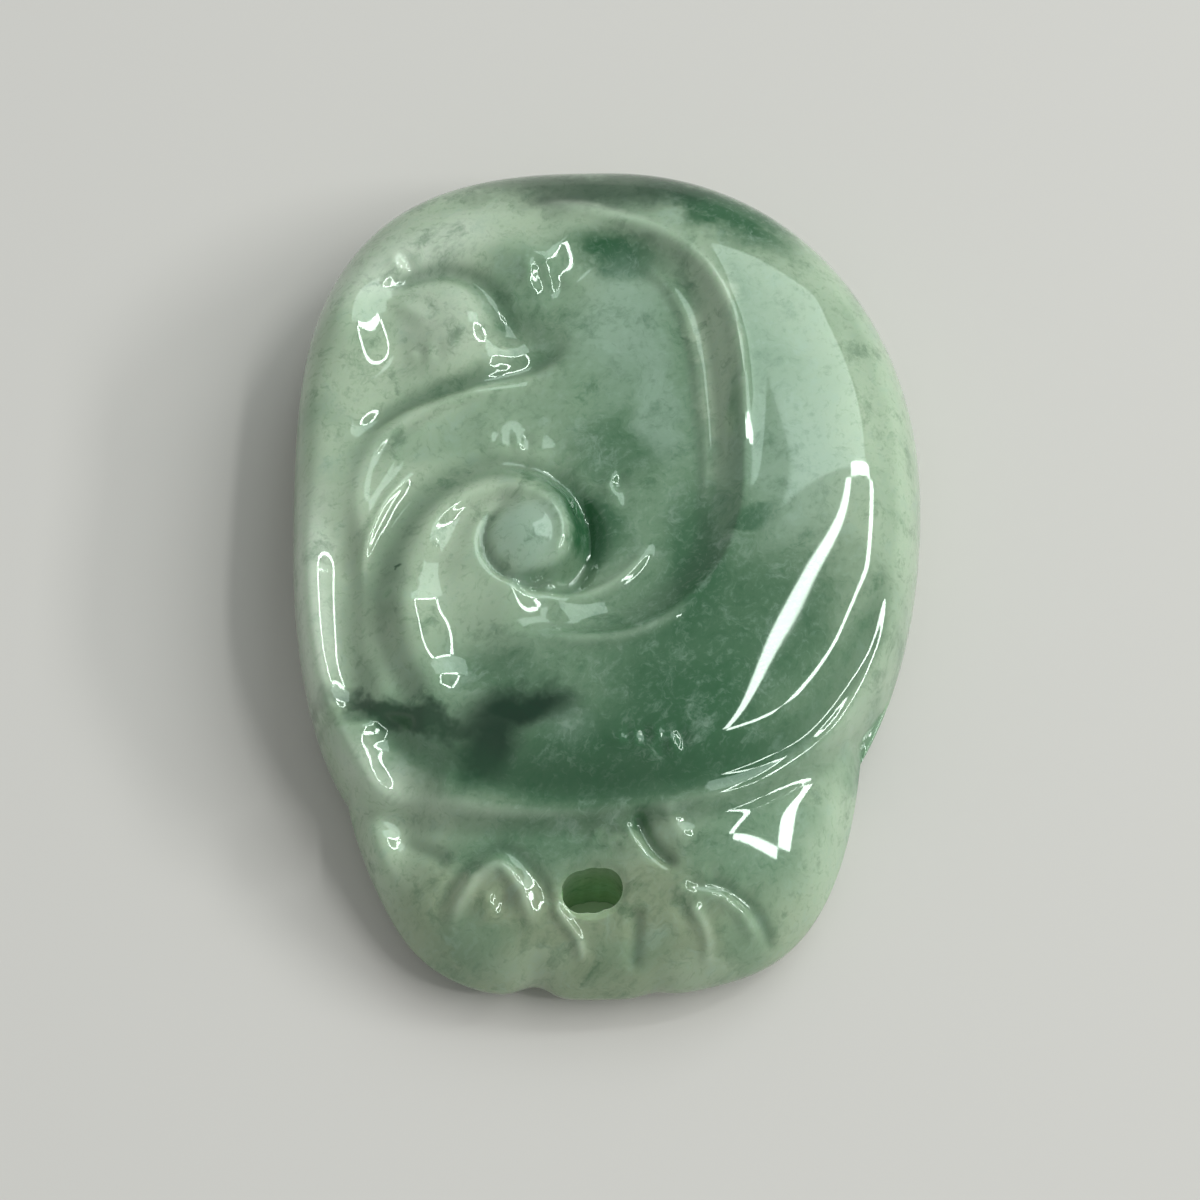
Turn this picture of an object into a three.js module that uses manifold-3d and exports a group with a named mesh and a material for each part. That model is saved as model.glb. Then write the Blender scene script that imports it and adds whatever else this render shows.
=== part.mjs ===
// A carved jadeite pendant of ruyi form, lying on its flat back. One solid.
// Millimetres, +Z up. +X runs across the pendant, +Y runs from the cord hole up the carving.
// The origin is in the middle of the underside.
import * as THREE from "three";
import Module from "manifold-3d";
import { mergeVertices } from "three/addons/utils/BufferGeometryUtils.js";

const { degToRad, radToDeg, clamp, lerp, smoothstep, euclideanModulo } = THREE.MathUtils;

const JADE_COLOUR = 0x8fae92;
const JADE_ROUGHNESS = 0.12;

// The body: a wide head above a narrower tail, both drawn as superellipses that share one outline.
const GIRDLE = 1.5;
const HEAD = {
  x: -0.04,
  y: 2.54,
  left: 10.7,
  right: 10.73,
  up: 11.98,
  down: 14.8,
  squareLeft: 2.72,
  squareRight: 2.08,
};
const TAIL = {
  x: -0.25,
  y: 1.3,
  left: 8.96,
  right: 8.96,
  up: 9,
  down: 16.2,
  squareLeft: 3.39,
  squareRight: 3.39,
};
// The dome on the head: flat in the middle and round at its edge, with a share of a plain dome.
const DOME = { ...HEAD, left: 12.9, right: 11.1, up: 12.35, down: 13.2 };
const DOME_RISE = 4.65;
const DOME_CROWN = 7;
const DOME_ROUNDNESS = 0.25;
const TAIL_RISE = 3.35;
const TAIL_CROWN = 3;
const JOIN_SOFTNESS = 0.25;
const EDGE_ROUNDING = 36;

// The flat back, reached from the girdle by a rounded underside.
const BACK_INSET = 1.1;
const UNDERSIDE_RINGS = 3;

// Cells of the carved face, across and along, and how much they crowd to its edge.
const CELLS_ACROSS = 54;
const CELLS_ALONG = 72;
const EDGE_CROWDING = 0.3;

// The cord hole: three passes of one drill side by side, right through.
const HOLE_PASSES = [
  { x: -0.88, y: -11.92, radius: 0.66 },
  { x: -0.52, y: -11.88, radius: 0.7 },
  { x: -0.18, y: -11.84, radius: 0.64 },
];
const HOLE_SIDES = 28;

// Small dents and swells in the outline: compass angle in degrees, depth and width in millimetres.
const OUTLINE_DENTS = [
  { angle: -99.5, depth: 0.4, width: 0.7 },
  { angle: -84, depth: 0.15, width: 0.6 },
  { angle: -76, depth: 0.2, width: 2.2 },
  { angle: -124, depth: 0.2, width: 2 },
];

// The volute: everything in it turns about the bead.
const BEAD = { x: -2.7, y: -0.45, radius: 1.15, height: 0.4 };

// The channel that winds between the volute and the outer whorl, by points round its outer bank.
// They make a closed loop.
// flank is how wide the slope is there that climbs out of it.
const CHANNEL_BANK = [
  { x: -7.3, y: -4.2, flank: 0.5 },
  { x: -7.5, y: -2.2, flank: 0.6 },
  { x: -7.4, y: -0.4, flank: 0.7 },
  { x: -7, y: 1.1, flank: 0.8 },
  { x: -6.3, y: 2.4, flank: 0.8 },
  { x: -5.3, y: 3.3, flank: 0.8 },
  { x: -4.1, y: 4.1, flank: 1 },
  { x: -2.8, y: 4.8, flank: 1.6 },
  { x: -1.9, y: 5.8, flank: 2 },
  { x: -1.6, y: 6.9, flank: 1.8 },
  { x: -1.5, y: 7.9, flank: 1.3 },
  { x: -1, y: 8.9, flank: 1.4 },
  { x: -0.2, y: 9.6, flank: 1.7 },
  { x: 0.9, y: 9.55, flank: 1.7 },
  { x: 1.8, y: 8.8, flank: 1.75 },
  { x: 2.4, y: 7.4, flank: 1.85 },
  { x: 2.8, y: 5.6, flank: 1.7 },
  { x: 3.05, y: 3.4, flank: 1.5 },
  { x: 3, y: 1, flank: 1.45 },
  { x: 2.6, y: -0.6, flank: 1.3 },
  { x: 1.6, y: -1.9, flank: 1.1 },
  { x: 0, y: -2.8, flank: 0.9 },
  { x: -2, y: -3.15, flank: 0.7 },
  { x: -4.2, y: -3, flank: 0.5 },
];
// How far its floor lies below the dome, by compass angle about the bead.
const CHANNEL_DEPTH = [
  { angle: -112, depth: 0 },
  { angle: -70, depth: 0.45 },
  { angle: -30, depth: 0.8 },
  { angle: 40, depth: 0.95 },
  { angle: 64, depth: 0.8 },
  { angle: 88, depth: 0.45 },
  { angle: 112, depth: 0.25 },
  { angle: 140, depth: 0.2 },
  { angle: 180, depth: 0.2 },
  { angle: 200, depth: 0.2 },
  { angle: 220, depth: 0 },
  { angle: 248, depth: 0 },
];
const FLANK_CURVE = 1.5;
const INNER_BANK = 0.35;

// The groove that bounds the volute, which is also the channel's inner bank.
const VOLUTE_EDGE = { fromAngle: -110, toAngle: 228, fromRadius: 1.42, toRadius: 6.15, flare: 0.72 };
const VOLUTE_RIM = { fromAngle: -50, toAngle: 180, fromRadius: 1.15, toRadius: 3.6, flare: 0.9 };
const VOLUTE_DISH = { fromAngle: 90, toAngle: 228, fromRadius: 1.6, toRadius: 3.6, flare: 0.3 };
const BEAD_GROOVE = { fromAngle: 110, toAngle: 325, fromRadius: 1.42, toRadius: 1.42, flare: 0 };
const BEAD_VALLEY = { fromAngle: -85, toAngle: 65, fromRadius: 2, toRadius: 2.15, flare: 0 };

// A spiral about the bead: its radius at an angle grows evenly, or holds back and then flares.
function spiralRadius({ fromAngle, toAngle, fromRadius, toRadius, flare }, angle) {
  const u = (angle - fromAngle) / (toAngle - fromAngle);
  return fromRadius * (toRadius / fromRadius) ** (u + flare * u * (u - 1));
}

function spiral(shape) {
  const steps = 10;
  return Array.from({ length: steps + 1 }, (_, i) => {
    const angle = shape.fromAngle + ((shape.toAngle - shape.fromAngle) * i) / steps;
    const radius = spiralRadius(shape, angle);
    return [BEAD.x + radius * Math.cos(degToRad(angle)), BEAD.y + radius * Math.sin(degToRad(angle))];
  });
}

// Carved lines: height above the face is positive for a ridge and negative for a groove,
// width is its half width, and fade is the share of the line over which each end dies away.
// right is the half width on the right of its way, where that differs, and spread is how many
// times wider the line ends than it starts.
const LINES = {
  voluteGroove: {
    points: spiral(VOLUTE_EDGE),
    width: 0.3, height: -0.34, fade: 0.1, right: 0.32, spread: 2.4,
  },
  voluteRim: { points: spiral(VOLUTE_RIM), width: 0.3, height: 0.14, fade: 0.15 },
  voluteDish: { points: spiral(VOLUTE_DISH), width: 0.6, height: -0.3, fade: 0.25 },
  voluteShoulder: {
    points: [[-6.9, -1.6], [-6.75, -3.2], [-6.1, -4.8], [-5, -6.2]],
    width: 0.8, height: 0.5, fade: 0.25,
  },
  beadGroove: { points: spiral(BEAD_GROOVE), width: 0.3, height: -0.24, fade: 0.2 },
  beadValley: { points: spiral(BEAD_VALLEY), width: 0.42, height: -0.32, fade: 0.3 },
  whorlCrest: {
    points: [[-3.4, 11.6], [-1, 11.85], [1, 11.2], [3, 9.85], [4, 8], [4.45, 5.6], [4.45, 0.5]],
    width: 0.32, height: 0.18, fade: 0.12,
  },
  rimCrease: {
    points: [[7, 9.45], [8.2, 7.5], [8.95, 5.3], [9.3, 2.9], [9.35, 0.5], [9, -2], [8.1, -4]],
    width: 0.3, height: -0.08, fade: 0.2, right: 0.5,
  },
  domeCrease: {
    points: [[9.2, -1], [7.8, -5], [4.5, -8], [-0.5, -8.85], [-4.6, -8.1], [-7.2, -6.5], [-8.3, -5.9]],
    width: 0.4, height: -0.36, fade: 0.12, right: 0.6, spread: 1.6,
  },
  lip: {
    points: [
      [9.4, -3.2], [7.2, -6.75], [3.6, -8.9], [-1.6, -9.45], [-6, -9], [-8.5, -7.5], [-9.6, -5],
      [-10.1, -1.2], [-9.9, 3],
    ],
    width: 0.36, height: 0.2, fade: 0.12, right: 0.45,
  },
  lipFoot: {
    points: [[8.8, -6.2], [6.3, -8], [3.2, -9.6], [-2.3, -10], [-6.8, -9.5], [-8.7, -8.8]],
    width: 0.36, height: -0.12, fade: 0.1,
  },
  lipHollow: {
    points: [[-7.6, -6.1], [-7.1, -7], [-6.3, -7.9], [-5.2, -8.6]],
    width: 0.75, height: -0.42, fade: 0.25, right: 0.9,
  },
  lipShoulder: {
    points: [[-9.3, -5.9], [-8.75, -7.2], [-7.9, -8.2], [-6.6, -8.8]],
    width: 0.5, height: 0.16, fade: 0.3,
  },
  bandRidge: {
    points: [[-2.2, 6], [-4.2, 5.1], [-6.8, 4.05], [-8.2, 2.1], [-8.2, -0.8], [-8.1, -2.3]],
    width: 0.34, height: 0.12, fade: 0.2,
  },
  bandGroove: {
    points: [
      [-1.1, 7.3], [-2.2, 6.3], [-3.2, 5.8], [-4.2, 5.5], [-5.5, 5.15], [-6.8, 4.65], [-7.9, 3.9],
      [-8.7, 2.9], [-8.9, 1.8],
    ],
    width: 0.3, height: -0.3, fade: 0.14, right: 0.45,
  },
  rimValley: {
    points: [[-8.6, 1.2], [-8.65, -0.4], [-8.65, -2], [-8.55, -3.6], [-8.3, -5.2], [-7.9, -6.4]],
    width: 0.7, height: -0.6, fade: 0.3, right: 1,
  },
  curlValley: {
    points: [[-7.2, 4.4], [-7.05, 5.6], [-6.9, 6.6], [-6.9, 7.3]],
    width: 1.1, height: -0.42, fade: 0.35, right: 0.5,
  },
  curlBand: {
    points: [
      [-9.3, 6.4], [-8.9, 8.3], [-8, 9.6], [-6.6, 10.45], [-5, 10.65], [-3.5, 10.35], [-2.5, 9.7],
      [-2.2, 8.8],
    ],
    width: 0.75, height: 0.26, fade: 0.18,
  },
  bevelEdge: {
    points: [[-9.1, 9.3], [-7.6, 10.8], [-5.8, 11.5], [-3.9, 11.65], [-2, 11.6]],
    width: 0.3, height: 0.09, fade: 0.25, right: 0.5,
  },
  curlGroove: {
    points: [
      [-7.5, 8.3], [-7.2, 9], [-6.4, 9.4], [-5.4, 9.5], [-4.6, 9.2], [-3.95, 8.6], [-3.5, 7.7],
      [-3.1, 6.8],
    ],
    width: 0.3, height: -0.32, fade: 0.18, right: 0.3, spread: 2.2,
  },
  curlTipGroove: {
    points: [[-7.6, 8.3], [-7.1, 7.6], [-6.4, 7.2], [-5.7, 7.1]],
    width: 0.3, height: -0.1, fade: 0.35,
  },
  shoulderWedge: {
    points: [[-7.6, -2.6], [-7.4, -4], [-6.8, -5.2], [-6, -6.1]],
    width: 0.5, height: -0.35, fade: 0.3,
  },
  shoulderGroove: {
    points: [[-10.2, -6.3], [-9.2, -6.2], [-8.2, -6.1], [-7.2, -6.3], [-6, -6.7]],
    width: 0.3, height: -0.24, fade: 0.2,
  },
  crescent: {
    points: [[0.9, -9.3], [1.1, -10], [1.55, -10.7], [2.35, -11.3]],
    width: 0.3, height: -0.32, fade: 0.2, right: 0.3,
  },
  crescentEdge: {
    points: [[1.75, -9.1], [2.1, -9.9], [2.7, -10.6]],
    width: 0.3, height: 0.14, fade: 0.3,
  },
  petalEdge: {
    points: [[2.3, -11.9], [3.4, -11.8], [4.3, -12.1], [5.1, -12.9], [5.4, -13.6]],
    width: 0.3, height: -0.2, fade: 0.15,
  },
  archGroove: {
    points: [
      [-5.8, -13], [-5.3, -11.9], [-4.5, -10.9], [-3.5, -10.5], [-2.6, -11.1], [-2, -12],
      [-1.9, -13],
    ],
    width: 0.3, height: -0.16, fade: 0.2,
  },
  leftPetalLine: {
    points: [[-7.2, -9.8], [-5.9, -10.5], [-5, -11.1]],
    width: 0.3, height: -0.14, fade: 0.3,
  },
  middlePetalLine: {
    points: [[0.9, -12.4], [0.9, -13.2], [0.8, -14.4]],
    width: 0.3, height: -0.18, fade: 0.2,
  },
};

// Rounded knobs and hollows: height is negative for a hollow, and stretch lengthens it along its angle.
const KNOBS = {
  bead: { x: BEAD.x, y: BEAD.y, radius: BEAD.radius, height: BEAD.height, stretch: 1, angle: 0 },
  curl: { x: -5.5, y: 7.5, radius: 1.4, height: 0.5, stretch: 1.15, angle: -80 },
  shoulderKnob: { x: -9.2, y: 7.6, radius: 1.1, height: 0.2, stretch: 1.3, angle: 70 },
  curlHollow: { x: -3, y: 7.3, radius: 0.85, height: -0.35, stretch: 1.5, angle: -40 },
  leftFall: { x: -5.5, y: 6.5, radius: 4.6, height: -0.7, stretch: 1.3, angle: 45 },
  shoulderFall: { x: -9.6, y: -7.6, radius: 2.6, height: -0.8, stretch: 1.2, angle: -60 },
  rightPetal: { x: 3, y: -9.4, radius: 3.1, height: 0.62, stretch: 1.3, angle: 60 },
  leftPetal: { x: -8.2, y: -9.9, radius: 1.5, height: 0.85, stretch: 1.3, angle: -75 },
  dish: { x: -4.3, y: -4, radius: 1.4, height: -0.4, stretch: 1.6, angle: -60 },
};

// Tilted facets: each adds its own descent to the right and down the carving, and dies away round about.
const FACETS = {
  leftRim: { x: -9.25, y: -3, radius: 0.8, right: 0.15, down: 0, stretch: 1.8, angle: 92 },
  leftRimTop: { x: -9.2, y: -1, radius: 0.8, right: 0.08, down: 0, stretch: 1.5, angle: 90 },
  leftRimMiddle: { x: -9.2, y: -4.4, radius: 0.8, right: 0.17, down: 0, stretch: 1.5, angle: 80 },
  leftRimFoot: { x: -8.8, y: -5.7, radius: 0.8, right: 0.59, down: 0, stretch: 1.3, angle: 70 },
  leftCorner: { x: -8.6, y: 4.2, radius: 1.2, right: 0.12, down: 0, stretch: 1.4, angle: 60 },
  leftCornerTop: { x: -8.3, y: 5.3, radius: 0.9, right: -0.09, down: 0, stretch: 1.2, angle: 30 },
  leftFlank: { x: -9.2, y: 2.9, radius: 0.8, right: -0.26, down: 0, stretch: 1.3, angle: 80 },
  lipTurn: { x: -8, y: -7, radius: 1, right: 0.38, down: 0, stretch: 1.3, angle: -60 },
  lipRun: { x: -7.2, y: -8.1, radius: 0.9, right: 0.16, down: 0, stretch: 1.3, angle: -50 },
  whorlFlankTop: { x: -6.3, y: -3, radius: 0.8, right: -0.04, down: 0, stretch: 1.3, angle: -68 },
  whorlFlank: { x: -5.9, y: -4.2, radius: 0.8, right: -0.15, down: 0.16, stretch: 1.4, angle: -68 },
  whorlFlankFoot: { x: -5.2, y: -5.5, radius: 0.8, right: -0.16, down: -0.06, stretch: 1.3, angle: -60 },
  shoulder: { x: -8.1, y: 6.8, radius: 1.1, right: 0.21, down: -0.29, stretch: 1.1, angle: -20 },
  shoulderLow: { x: -8.6, y: 6, radius: 0.9, right: 0.09, down: 0.13, stretch: 1.1, angle: -20 },
  curlSide: { x: -4.35, y: 7.1, radius: 0.7, right: 0.06, down: 0.33, stretch: 1.2, angle: 70 },
  tailCorner: { x: -7.3, y: -10.2, radius: 0.9, right: 0.76, down: -0.4, stretch: 1.2, angle: 90 },
  channelFloor: { x: 0, y: 6.3, radius: 2.2, right: 0.13, down: 0.08, stretch: 1.3, angle: 70 },
  channelFoot: { x: -0.6, y: 3.4, radius: 1.6, right: -0.02, down: 0.1, stretch: 1.3, angle: 0 },
  quarter: { x: -1.9, y: 6.4, radius: 1.2, right: 0.39, down: 0.3, stretch: 1.2, angle: 60 },
  rightRim: { x: 8.7, y: 0, radius: 1.8, right: -0.02, down: 0.08, stretch: 2.2, angle: 85 },
  rightRimLow: { x: 7.6, y: -3.6, radius: 1.8, right: -0.13, down: -0.04, stretch: 1.5, angle: 55 },
  rightPetal: { x: 5.2, y: -9.8, radius: 1.5, right: 0.02, down: 0.01, stretch: 1.3, angle: 60 },
};

// A superellipse's own measure of a point: 0 at its centre and 1 on its edge.
function measure(shape, x, y) {
  const dx = x - shape.x;
  const dy = y - shape.y;
  const power = dx < 0 ? shape.squareLeft : shape.squareRight;
  const across = Math.abs(dx) / (dx < 0 ? shape.left : shape.right);
  const along = Math.abs(dy) / (dy < 0 ? shape.down : shape.up);
  return (across ** power + along ** power) ** (1 / power);
}

// The outline's radius about the origin in one direction, by halving, with its dents taken off.
function outlineRadius(turn) {
  const halvings = 40;
  let inside = 0;
  let outside = 2 * TAIL.down;
  for (let i = 0; i < halvings; i++) {
    const radius = (inside + outside) / 2;
    const x = radius * Math.cos(turn);
    const y = radius * Math.sin(turn);
    if (Math.min(measure(HEAD, x, y), measure(TAIL, x, y)) < 1) inside = radius;
    else outside = radius;
  }
  let radius = inside;
  for (const dent of OUTLINE_DENTS) {
    const away = turn - degToRad(dent.angle);
    const arc = Math.atan2(Math.sin(away), Math.cos(away)) * inside;
    radius -= dent.depth * bell(arc / dent.width);
  }
  return radius;
}

function bell(value) {
  return Math.exp(-value * value);
}

function smoothMax(a, b, softness) {
  return (a + b + Math.sqrt((a - b) ** 2 + softness ** 2)) / 2;
}

// Height of a rounded body over the girdle at a share of the way out to its edge.
function crown(share, rise, power, roundness = 0) {
  const full = Math.sqrt(Math.max(0, 1 - share ** power));
  const plain = Math.sqrt(Math.max(0, 1 - share ** 2));
  return rise * lerp(full, plain, roundness);
}

// A smooth line through a few points, open or closed, cut into short straight lengths.
function smoothLine(points, closed = false) {
  const lengthsEach = 8;
  const places = points.map(([x, y]) => new THREE.Vector3(x, y, 0));
  const spans = closed ? points.length : points.length - 1;
  return new THREE.CatmullRomCurve3(places, closed, "centripetal").getPoints(lengthsEach * spans);
}

// How far a point is from a line, on which side, positive on the left, and how far along it lies.
function nearest(line, x, y) {
  let distance = Infinity;
  let along = 0;
  let side = 1;
  for (let i = 0; i < line.length - 1; i++) {
    const sx = line[i + 1].x - line[i].x;
    const sy = line[i + 1].y - line[i].y;
    const t = clamp(((x - line[i].x) * sx + (y - line[i].y) * sy) / (sx * sx + sy * sy), 0, 1);
    const gx = x - line[i].x - t * sx;
    const gy = y - line[i].y - t * sy;
    const gap = Math.hypot(gx, gy);
    if (gap < distance) {
      distance = gap;
      along = (i + t) / (line.length - 1);
      side = Math.sign(sx * gy - sy * gx);
    }
  }
  return { distance, along, side };
}

const carvedLines = Object.values(LINES).map((line) => ({ ...line, path: smoothLine(line.points) }));

function lineRelief(x, y) {
  let relief = 0;
  for (const line of carvedLines) {
    const { distance, along, side } = nearest(line.path, x, y);
    const { height, fade, width, right = width, spread = 1 } = line;
    const ends = smoothstep(along, 0, fade) * smoothstep(1 - along, 0, fade);
    const reach = (side < 0 ? right : width) * lerp(1, spread, along);
    relief += height * ends * bell(distance / reach);
  }
  return relief;
}

function knobRelief(x, y) {
  let relief = 0;
  for (const knob of Object.values(KNOBS)) {
    const turn = degToRad(knob.angle);
    const u = (x - knob.x) * Math.cos(turn) + (y - knob.y) * Math.sin(turn);
    const v = (y - knob.y) * Math.cos(turn) - (x - knob.x) * Math.sin(turn);
    relief += knob.height * bell(Math.hypot(u / knob.stretch, v) / knob.radius);
  }
  return relief;
}

function facetRelief(x, y) {
  let relief = 0;
  for (const facet of Object.values(FACETS)) {
    const turn = degToRad(facet.angle);
    const across = x - facet.x;
    const up = y - facet.y;
    const u = across * Math.cos(turn) + up * Math.sin(turn);
    const v = up * Math.cos(turn) - across * Math.sin(turn);
    const fall = up * facet.down - across * facet.right;
    relief += fall * bell(Math.hypot(u / facet.stretch, v) / facet.radius);
  }
  return relief;
}

const channelBank = smoothLine(CHANNEL_BANK.map(({ x, y }) => [x, y]), true);

// The channel's depth: full on its floor, dying away up the outer flank and over the volute's edge.
function channelRelief(x, y) {
  const first = CHANNEL_DEPTH[0].angle;
  const bearing = radToDeg(Math.atan2(y - BEAD.y, x - BEAD.x));
  const angle = first + euclideanModulo(bearing - first, 360);
  const next = CHANNEL_DEPTH.findIndex((row) => row.angle >= angle);
  const [from, to] = [CHANNEL_DEPTH[Math.max(next, 1) - 1], CHANNEL_DEPTH[Math.max(next, 1)]];
  const depth = lerp(from.depth, to.depth, smoothstep(angle, from.angle, to.angle));
  const outer = nearest(channelBank, x, y);
  const place = outer.along * CHANNEL_BANK.length;
  const before = Math.floor(place) % CHANNEL_BANK.length;
  const after = (before + 1) % CHANNEL_BANK.length;
  const flank = lerp(CHANNEL_BANK[before].flank, CHANNEL_BANK[after].flank, place % 1);
  const climb = outer.side < 0 ? 0 : clamp(outer.distance / flank, 0, 1);
  const outside = Math.hypot(x - BEAD.x, y - BEAD.y) - spiralRadius(VOLUTE_EDGE, angle);
  const floor = smoothstep(outside, -INNER_BANK, INNER_BANK);
  return -depth * floor * (1 - climb ** FLANK_CURVE);
}

function faceHeight(x, y, share) {
  const head = crown(measure(DOME, x, y), DOME_RISE, DOME_CROWN, DOME_ROUNDNESS);
  const tail = crown(measure(TAIL, x, y), TAIL_RISE, TAIL_CROWN);
  const relief = channelRelief(x, y) + lineRelief(x, y) + knobRelief(x, y) + facetRelief(x, y);
  const edge = Math.sqrt(1 - share ** EDGE_ROUNDING);
  return GIRDLE + edge * (smoothMax(head, tail, JOIN_SOFTNESS) + relief);
}

// A square grid laid over the outline: its cells are nearly of one size, and its edge is the outline.
function gridPoint(column, row) {
  const u = (2 * column) / CELLS_ACROSS - 1;
  const v = (2 * row) / CELLS_ALONG - 1;
  const discX = u * Math.sqrt(1 - (v * v) / 2);
  const discY = v * Math.sqrt(1 - (u * u) / 2);
  const even = Math.min(1, Math.hypot(discX, discY));
  const share = lerp(even, Math.sin((even * Math.PI) / 2), EDGE_CROWDING);
  const turn = Math.atan2(discY * HEAD.down, discX * HEAD.left);
  const radius = share * outlineRadius(turn);
  return { x: radius * Math.cos(turn), y: radius * Math.sin(turn), share };
}

function gridEdge() {
  const edge = [];
  for (let i = 0; i < CELLS_ACROSS; i++) edge.push([i, 0]);
  for (let j = 0; j < CELLS_ALONG; j++) edge.push([CELLS_ACROSS, j]);
  for (let i = CELLS_ACROSS; i > 0; i--) edge.push([i, CELLS_ALONG]);
  for (let j = CELLS_ALONG; j > 0; j--) edge.push([0, j]);
  return edge.map(([i, j]) => i * (CELLS_ALONG + 1) + j);
}

// Whether a cell is cut from its first corner to its third. The cut follows the carving, save in the
// grid's four corner cells, where it runs out to the corner so that no face lies along the outline.
function cutsAcross(i, j, riseAcross, riseOther) {
  const corner = (i === 0 || i === CELLS_ACROSS - 1) && (j === 0 || j === CELLS_ALONG - 1);
  if (corner) return (i === 0) === (j === 0);
  return Math.abs(riseAcross) < Math.abs(riseOther);
}

function bodyGeometry() {
  const positions = [];
  const faces = [];
  for (let i = 0; i <= CELLS_ACROSS; i++) {
    for (let j = 0; j <= CELLS_ALONG; j++) {
      const { x, y, share } = gridPoint(i, j);
      positions.push(x, y, faceHeight(x, y, share));
    }
  }
  const at = (i, j) => i * (CELLS_ALONG + 1) + j;
  const height = (i) => positions[3 * i + 2];
  for (let i = 0; i < CELLS_ACROSS; i++) {
    for (let j = 0; j < CELLS_ALONG; j++) {
      const [a, b, c, d] = [at(i, j), at(i + 1, j), at(i + 1, j + 1), at(i, j + 1)];
      const across = cutsAcross(i, j, height(a) - height(c), height(b) - height(d));
      if (across) faces.push(a, b, c, a, c, d);
      else faces.push(a, b, d, b, c, d);
    }
  }
  const edge = gridEdge();
  let ring = edge;
  for (let k = 1; k <= UNDERSIDE_RINGS; k++) {
    const turn = (k / UNDERSIDE_RINGS) * (Math.PI / 2);
    const height = GIRDLE * (1 - Math.sin(turn));
    const inset = BACK_INSET * (1 - Math.cos(turn));
    const below = edge.map((i) => {
      const [x, y] = [positions[3 * i], positions[3 * i + 1]];
      const shrink = 1 - inset / Math.hypot(x, y);
      positions.push(x * shrink, y * shrink, height);
      return positions.length / 3 - 1;
    });
    ring.forEach((here, i) => {
      const ahead = (i + 1) % ring.length;
      faces.push(here, below[i], below[ahead], here, below[ahead], ring[ahead]);
    });
    ring = below;
  }
  const back = ring.map((i) => new THREE.Vector2(positions[3 * i], positions[3 * i + 1]));
  for (const [a, b, c] of THREE.ShapeUtils.triangulateShape(back, [])) {
    faces.push(ring[a], ring[c], ring[b]);
  }
  const geometry = new THREE.BufferGeometry();
  geometry.setAttribute("position", new THREE.Float32BufferAttribute(positions, 3));
  geometry.setIndex(faces);
  return geometry;
}

// One drill for the whole hole: the outline round all the passes, seen from their middle.
function drillGeometry() {
  const centres = HOLE_PASSES.map(({ x, y }) => new THREE.Vector2(x, y));
  const middle = new THREE.Vector2();
  for (const centre of centres) middle.addScaledVector(centre, 1 / centres.length);
  const outline = [];
  for (let i = 0; i < HOLE_SIDES; i++) {
    const turn = (2 * Math.PI * i) / HOLE_SIDES;
    const ray = new THREE.Vector2(Math.cos(turn), Math.sin(turn));
    let reach = 0;
    for (let k = 0; k < centres.length; k++) {
      const offset = centres[k].clone().sub(middle);
      const forward = offset.dot(ray);
      const rest = HOLE_PASSES[k].radius ** 2 - offset.lengthSq() + forward ** 2;
      reach = Math.max(reach, forward + Math.sqrt(rest));
    }
    outline.push(middle.clone().addScaledVector(ray, reach));
  }
  const depth = 4 * (GIRDLE + TAIL_RISE);
  const drill = new THREE.ExtrudeGeometry(new THREE.Shape(outline), { depth, bevelEnabled: false });
  return drill.translate(0, 0, -depth / 2);
}

const wasm = await Module();
wasm.setup();

function toSolid(geometry) {
  const tolerance = 1e-4;
  const bare = geometry.clone();
  bare.deleteAttribute("normal");
  bare.deleteAttribute("uv");
  const merged = mergeVertices(bare, tolerance);
  const vertProperties = new Float32Array(merged.attributes.position.array);
  const triVerts = new Uint32Array(merged.index.array);
  return new wasm.Manifold(new wasm.Mesh({ numProp: 3, vertProperties, triVerts }));
}

function toGeometry(solid) {
  const mesh = solid.getMesh();
  const geometry = new THREE.BufferGeometry();
  geometry.setAttribute("position", new THREE.BufferAttribute(mesh.vertProperties, 3));
  geometry.setIndex(new THREE.BufferAttribute(mesh.triVerts, 1));
  geometry.computeVertexNormals();
  return geometry;
}

// Slides a shape sideways until the origin is under its middle.
function overOrigin(geometry) {
  geometry.computeBoundingBox();
  const middle = geometry.boundingBox.getCenter(new THREE.Vector3());
  return geometry.translate(-middle.x, -middle.y, 0);
}

function pendant() {
  const solid = toSolid(bodyGeometry()).subtract(toSolid(drillGeometry()));
  const finish = { color: JADE_COLOUR, roughness: JADE_ROUGHNESS, metalness: 0 };
  const jade = new THREE.MeshStandardMaterial(finish);
  const mesh = new THREE.Mesh(overOrigin(toGeometry(solid)), jade);
  mesh.name = "pendant";
  return mesh;
}

const group = new THREE.Group();
group.add(pendant());
export default group;
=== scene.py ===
"""The look of a carved jadeite pendant of ruyi form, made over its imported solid.

The pendant is one piece of mottled green jadeite, polished all over, lying on its flat back.
The carving is worked out in millimetres, with +X across it, +Y from the cord hole up the carving
and +Z out of the carved face. Its angles are in degrees from +X towards +Y, and the scene itself is
in metres.
"""

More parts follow.
